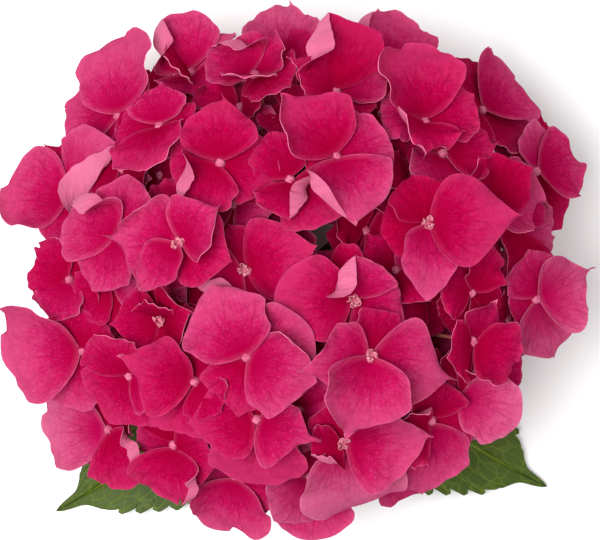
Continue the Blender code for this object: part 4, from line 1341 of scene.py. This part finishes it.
# How strongly the upper side's colours mix, and how far clouds push the end's colour about.
BLADE_SHARE, PATCH_SHARE, END_SHARE, SPOT_SHARE, CLOUD_PUSH = 0.85, 0.5, 0.42, 0.55, 14
# How strongly the paler margin and the painted rim highlight on its edge are mixed in.
MARGIN_SHARE, RIM_HIGHLIGHT_SHARE = 0.22, 0.45

BACK_SKIN = {"roughness": 0.65, "specular_ior_level": 0.08}
BACK_SCALE, BACK_SHARE, BACK_VEIN, BACK_GLOW = 70.0, 0.8, 0.45, 0.16

# A stalk's or bud's skin: its patches' detail and ramp, and its grain by the patches' scale.
PLAIN_SKIN = {"roughness": 0.5, "specular_ior_level": 0.35}
SKIN_PATCHES, SKIN_GRAIN, SKIN_STRENGTH = (3.0, 0.35, 0.68), 9, 0.5


def veins(finish):
    """A sepal's veins, 1 on a vein and 0 between; the way from its root; its flat coordinates."""
    along, across = finish.blade()
    x, y = along * FLAT_SCALE, (across - 0.5) * FLAT_SCALE
    flat = finish.vector(x, y)
    radius = (x * x + y * y) ** 0.5
    angle = finish.math("ARCTAN2", y, x + VEIN_ROOT)
    wander = finish.noise(flat, WANDER_SCALE, 3.0) - 0.5
    ahead = radius * MAIN_REACH + wander * REACH_WANDER
    fan = finish.vector(angle * MAIN_FAN + wander * FAN_WANDER, ahead)
    weave = finish.vector(angle * FINE_FAN + wander * FINE_WANDER, radius * FINE_REACH + wander)
    main = finish.net(fan, *MAIN_NET) * MAIN_SHARE
    fine = finish.net(weave, *FINE_NET) * FINE_SHARE
    fading = 1 - finish.ramp(radius, *VEINS_FADE) * FADE_SHARE
    return (main + fine) * fading, radius, flat


def sepal_face(name, deep, mid, light):
    """The upper side of a sepal: deepest at its root, paler to its end and margin, veined; the thin
    pale line along its very edge is a painted rim highlight.
    """
    finish = Finish(name, **FACE_SKIN)
    vein, radius, flat = veins(finish)
    patches = finish.noise(finish.place(), PATCH_SCALE, 2.0)
    outer = finish.ramp(radius, *ROOT_REACH)
    color = finish.mix(outer * BLADE_SHARE + (patches - 0.5) * PATCH_SHARE, deep, mid)
    clouds = finish.noise(flat, CLOUD_SCALE, 2.0)
    far = finish.ramp(radius + (clouds - 0.5) * CLOUD_PUSH, *END_REACH)
    color = finish.mix(far * END_SHARE, color, light)
    spotted = finish.spots(flat, *FLECKS) * finish.spots(flat, *MOTTLE)
    color = finish.mix(spotted * outer * SPOT_SHARE, color, light)
    margin = finish.margin()
    # A paler margin, and on its very edge a thin pale line that is a painted rim highlight.
    pale_margin_and_highlight = finish.ramp(margin, *MARGIN_GLOW) * MARGIN_SHARE
    pale_margin_and_highlight = pale_margin_and_highlight + finish.ramp(margin, *RIM_HIGHLIGHT_BAND) * RIM_HIGHLIGHT_SHARE
    color = finish.mix(pale_margin_and_highlight, color, light)
    color = finish.mix(vein * VEIN_SHARE, color, [channel * VEIN_SHADE for channel in deep])
    finish.set("Base Color", color)
    grain = finish.noise(flat, GRAIN_SCALE, 2.0)
    finish.bump(grain * GRAIN_DEPTH - vein * VEIN_DEPTH, RELIEF, RELIEF_STRENGTH)
    finish.let_light_through(GLOW_RED, GLOW_SHARE)
    return finish.material


def sepal_back(name, color, vein_color):
    """The under side of a sepal, much paler, with the veins standing out."""
    finish = Finish(name, **BACK_SKIN)
    vein = veins(finish)[0]
    patches = finish.noise(finish.place(), BACK_SCALE, 2.0)
    tinted = finish.mix(patches * BACK_SHARE, color, vein_color)
    finish.set("Base Color", finish.mix(vein * BACK_VEIN, tinted, vein_color))
    finish.bump(vein, RELIEF, RELIEF_STRENGTH)
    finish.let_light_through(vein_color, BACK_GLOW)
    return finish.material


def soft_skin(name, color, other, scale):
    """A stalk's or bud's skin: two near colours in patches, with a fine grain."""
    finish = Finish(name, **PLAIN_SKIN)
    patches = finish.spots(finish.place(), scale, *SKIN_PATCHES)
    finish.set("Base Color", finish.mix(patches, color, other))
    finish.bump(finish.noise(finish.place(), scale * SKIN_GRAIN, 2.0), RELIEF, SKIN_STRENGTH)
    return finish.material


# A leaf's colours, and its two nets of fine veins: scale, randomness and width.
LEAF_DARK, LEAF_LIGHT = (0.029, 0.057, 0.003), (0.070, 0.114, 0.006)
LEAF_VEIN, LEAF_GLOW = (0.24, 0.33, 0.035), (0.12, 0.25, 0.02)
LEAF_NET, LEAF_CELLS = (190.0, 0.9, 0.09), (700.0, 1.0, 0.12)
RIB_EDGE, MIDRIB_EDGE = (0.010, 0.045), (0.012, 0.045)    # soft edges of its ribs
LEAF_SKIN = {"roughness": 0.5, "specular_ior_level": 0.22}
NET_SHARE, CELL_SHARE, LEAF_VEIN_SHARE, LEAF_GLOW_SHARE = 0.26, 0.08, 0.6, 0.12
LEAF_PATCHES, LEAF_GRAIN, LEAF_GRAIN_DEPTH = (60.0, 3.0), (900.0, 2.0), 0.4
LEAF_RELIEF = (0.0003, 0.7)       # its distance in metres, and its strength


def leaf_skin(name):
    """A leaf: dark green cells between thin paler side veins and a faint net."""
    finish = Finish(name, **LEAF_SKIN)
    along, across = finish.blade()
    side = finish.math("ABSOLUTE", across - 0.5) * 2
    strip = along * SIDE_VEINS * VEIN_PACE - side * VEIN_LEAN * SIDE_VEINS
    ribs = 1 - finish.ramp(finish.math("PINGPONG", strip, 0.5), *RIB_EDGE)
    middle = 1 - finish.ramp(side, *MIDRIB_EDGE)
    place = finish.place()
    nets = finish.net(place, *LEAF_NET) * NET_SHARE + finish.net(place, *LEAF_CELLS) * CELL_SHARE
    vein = finish.math("MINIMUM", finish.math("MAXIMUM", ribs, middle) + nets, 1.0)
    green = finish.mix(finish.noise(place, *LEAF_PATCHES), LEAF_DARK, LEAF_LIGHT)
    finish.set("Base Color", finish.mix(vein * LEAF_VEIN_SHARE, green, LEAF_VEIN))
    grain = finish.noise(place, *LEAF_GRAIN) * LEAF_GRAIN_DEPTH
    finish.bump(vein * -1 + grain, *LEAF_RELIEF)
    finish.let_light_through(LEAF_GLOW, LEAF_GLOW_SHARE)
    return finish.material


# The sepals' upper sides by tint: colours at the root, over the blade, and at its end.
SEPAL_TINTS = {
    "sepal_deep": ((0.30, 0.0001, 0.026), (0.39, 0.0004, 0.047), (0.50, 0.020, 0.12)),
    "sepal_crimson": ((0.33, 0.0002, 0.034), (0.43, 0.001, 0.068), (0.55, 0.050, 0.17)),
    "sepal_rose": ((0.37, 0.0004, 0.048), (0.47, 0.007, 0.100), (0.59, 0.110, 0.25)),
    "sepal_light": ((0.41, 0.002, 0.072), (0.50, 0.040, 0.155), (0.61, 0.17, 0.30)),
}
SEPAL_FACES = [sepal_face(name, *colors) for name, colors in SEPAL_TINTS.items()]
SEPAL_BACK = sepal_back("sepal_under", (0.64, 0.17, 0.30), (0.54, 0.07, 0.18))
# The thin rim faces of each sepal get a paler colour, a painted rim highlight along its edge.
SEPAL_RIM_HIGHLIGHT = soft_skin("sepal_rim_highlight", (0.84, 0.22, 0.38), (0.76, 0.12, 0.27), 90.0)
BUD_PINK = soft_skin("bud_pink", (0.58, 0.13, 0.24), (0.42, 0.05, 0.13), 420.0)
FILAMENT_PINK = soft_skin("filament_pink", (0.60, 0.17, 0.24), (0.46, 0.08, 0.14), 500.0)
ANTHER_PINK = soft_skin("anther_pink", (0.66, 0.27, 0.31), (0.50, 0.14, 0.18), 700.0)
STALK_GREEN = soft_skin("stalk_green", (0.20, 0.20, 0.055), (0.30, 0.16, 0.08), 160.0)
STALK_PINK = soft_skin("stalk_pink", (0.50, 0.05, 0.10), (0.42, 0.12, 0.09), 220.0)
LEAF_GREEN_FINISH = leaf_skin("leaf_green_skin")


# ---------------------------------------------------------------- the head

STALK_SIDES, RAY_SKIN_SIDES, STEM_SKIN_SIDES, RAY_STEPS = 8, 14, 40, 12
STEM_RIBS, STEM_RIB = 7, 0.02     # ribs round the stem, and their height by its radius
SWELLING_REACH = 2                # how far the joint's swelling fades up and down the stem
STEM_LEVELS = (0, 2, 4, 6, 7.5, 9, 10.5, 12, 15, 20, 25, 30, 35, 38, 40, STEM_HEIGHT)


def dress_cluster(name, cluster, template, fitted):
    """A cluster's sepals, hearts and stalks, each kind one joined piece."""
    sepals, hearts, stalks = Mesh(), Mesh(), Mesh()
    faces, sides = template[4:]
    for floret in cluster["florets"]:
        dice = random.Random(SEED * BUD_SEED + floret.number)
        for coords, flat, rim, tint in fitted[floret.number]:
            finish = np.where(sides == FACE_SIDE, tint, len(SEPAL_FACES) + sides - BACK_SIDE)
            sepals.add(coords, faces, finish, flat, rim)
        if floret.number in OPEN_HEARTS:
            opened_heart(hearts, floret.place, floret.axis, floret.number)
        else:
            size, turn = dice.uniform(*BUD_SIZES), dice.random() * 3
            hearts.add(*bud(floret.place, floret.axis, size, turn), 0)
        stalks.add(*tube(floret.path[:-1], floret.radii[:-1], STALK_SIDES), 1)
    for piece in neck_and_fork(cluster):
        stalks.add(*shape_arrays(piece), 0)
    node = f"cluster_{name}"
    sepals.piece(f"sepals_{name}", [*SEPAL_FACES, SEPAL_BACK, SEPAL_RIM_HIGHLIGHT], "sepal_pink", [node])
    hearts.piece(f"hearts_{name}", [BUD_PINK, FILAMENT_PINK, ANTHER_PINK], "sepal_pink", [node])
    stalks.piece(f"stalks_{name}", [STALK_GREEN, STALK_PINK], "stem_green", [node])


def dress_limbs():
    """The stem, lightly ribbed and swollen at its joint, and the rays, over their solids."""
    radii = []
    for height in STEM_LEVELS:
        swelling = math.exp(-((height - JOINT_HEIGHT) / SWELLING_REACH) ** 2)
        radii.append(stem_radius(height) + (JOINT_RADIUS - stem_radius(JOINT_HEIGHT)) * swelling)
    coords, faces = tube([(0, 0, height) for height in STEM_LEVELS], radii, STEM_SKIN_SIDES)
    angle = np.arctan2(coords[:, 1], coords[:, 0])
    coords[:, :2] *= (1 + STEM_RIB * np.cos(angle * STEM_RIBS))[:, None]
    mesh = Mesh()
    mesh.add(coords, faces, 0)
    mesh.piece("stem_skin", [STALK_GREEN], "stem_green", ["stem"])
    for name, polar, turn, whorl in ray_names():
        path, out, direction = ray_path(polar, turn, whorl)
        if polar:
            curve = bend(path[0], out * RAY_RISE, path[-1], direction * RAY_ARRIVE, RAY_STEPS)
        else:
            curve = [path[0].lerp(path[-1], n / RAY_STEPS) for n in range(RAY_STEPS + 1)]
        radii = [RAY_BASE + (RAY_TIP - RAY_BASE) * n / RAY_STEPS for n in range(RAY_STEPS + 1)]
        mesh = Mesh()
        mesh.add(*shape_arrays(limb(curve, radii, RAY_SKIN_SIDES, (out, direction))), 0)
        mesh.piece(f"ray_{name}_skin", [STALK_GREEN], "stem_green", [f"ray_{name}"])


# ---------------------------------------------------------------- camera, light and table

CAMERA_HEIGHT = 1.1               # metres over the table
VIEW_WIDTH, VIEW_HEIGHT = 0.186, 0.06     # metres across the frame, at this height
SENSOR = 36
TABLE_HALF = 3                    # metres
PAPER_WHITE, PAPER_ROUGHNESS = (0.93, 0.93, 0.93), 0.9
SKY_STRENGTH = 0.56
# Round lamps that point at the head: place and diameter in metres, and power in watts.
LAMPS = {
    "key_light": ((-0.5, -0.1, 1.3), 1.0, 25),
    "fill_light": ((0.8, 0.6, 1.2), 1.0, 5),
}


def place_camera(scene):
    """The camera over the head, looking straight down."""
    camera = bpy.data.objects.new("camera", bpy.data.cameras.new("camera"))
    camera.data.sensor_width = SENSOR
    camera.data.lens = SENSOR * (CAMERA_HEIGHT - VIEW_HEIGHT) / VIEW_WIDTH
    camera.location = (0, 0, CAMERA_HEIGHT)
    scene.collection.objects.link(camera)
    scene.camera = camera


def lay_table(scene):
    """A matt white table top under the head."""
    bm = bmesh.new()
    bmesh.ops.create_grid(bm, x_segments=1, y_segments=1, size=TABLE_HALF)
    floor_mesh = bpy.data.meshes.new("table_top")
    bm.to_mesh(floor_mesh)
    bm.free()
    floor = bpy.data.objects.new("table_top", floor_mesh)
    scene.collection.objects.link(floor)
    paper = Finish("paper_white", roughness=PAPER_ROUGHNESS)
    paper.set("Base Color", PAPER_WHITE)
    floor_mesh.materials.append(paper.material)


def hang_lamps(scene):
    """The lamps and a plain pale sky."""
    for name, (place, size, power) in LAMPS.items():
        light = bpy.data.lights.new(name, "AREA")
        light.shape = "DISK"
        light.size = size
        light.energy = power
        made = bpy.data.objects.new(name, light)
        made.location = place
        made.rotation_mode = "QUATERNION"
        made.rotation_quaternion = (-Vector(place)).to_track_quat("-Z", "Y")
        scene.collection.objects.link(made)
    world = bpy.data.worlds.new("sky")
    scene.world = world
    world.use_nodes = True
    background = world.node_tree.nodes["Background"]
    background.inputs["Color"].default_value = (1, 1, 1, 1)
    background.inputs["Strength"].default_value = SKY_STRENGTH
    scene.view_settings.view_transform = "Standard"


def main():
    clusters = grow()
    template = blade_template()
    fitted = fit_blades(clusters, template)
    for name, cluster in clusters.items():
        dress_cluster(name, cluster, template, fitted)
    dress_limbs()
    for name, (tip, heading) in LEAVES.items():
        fine_leaf(name, tip, heading)
    scene = bpy.context.scene
    place_camera(scene)
    lay_table(scene)
    hang_lamps(scene)


main()
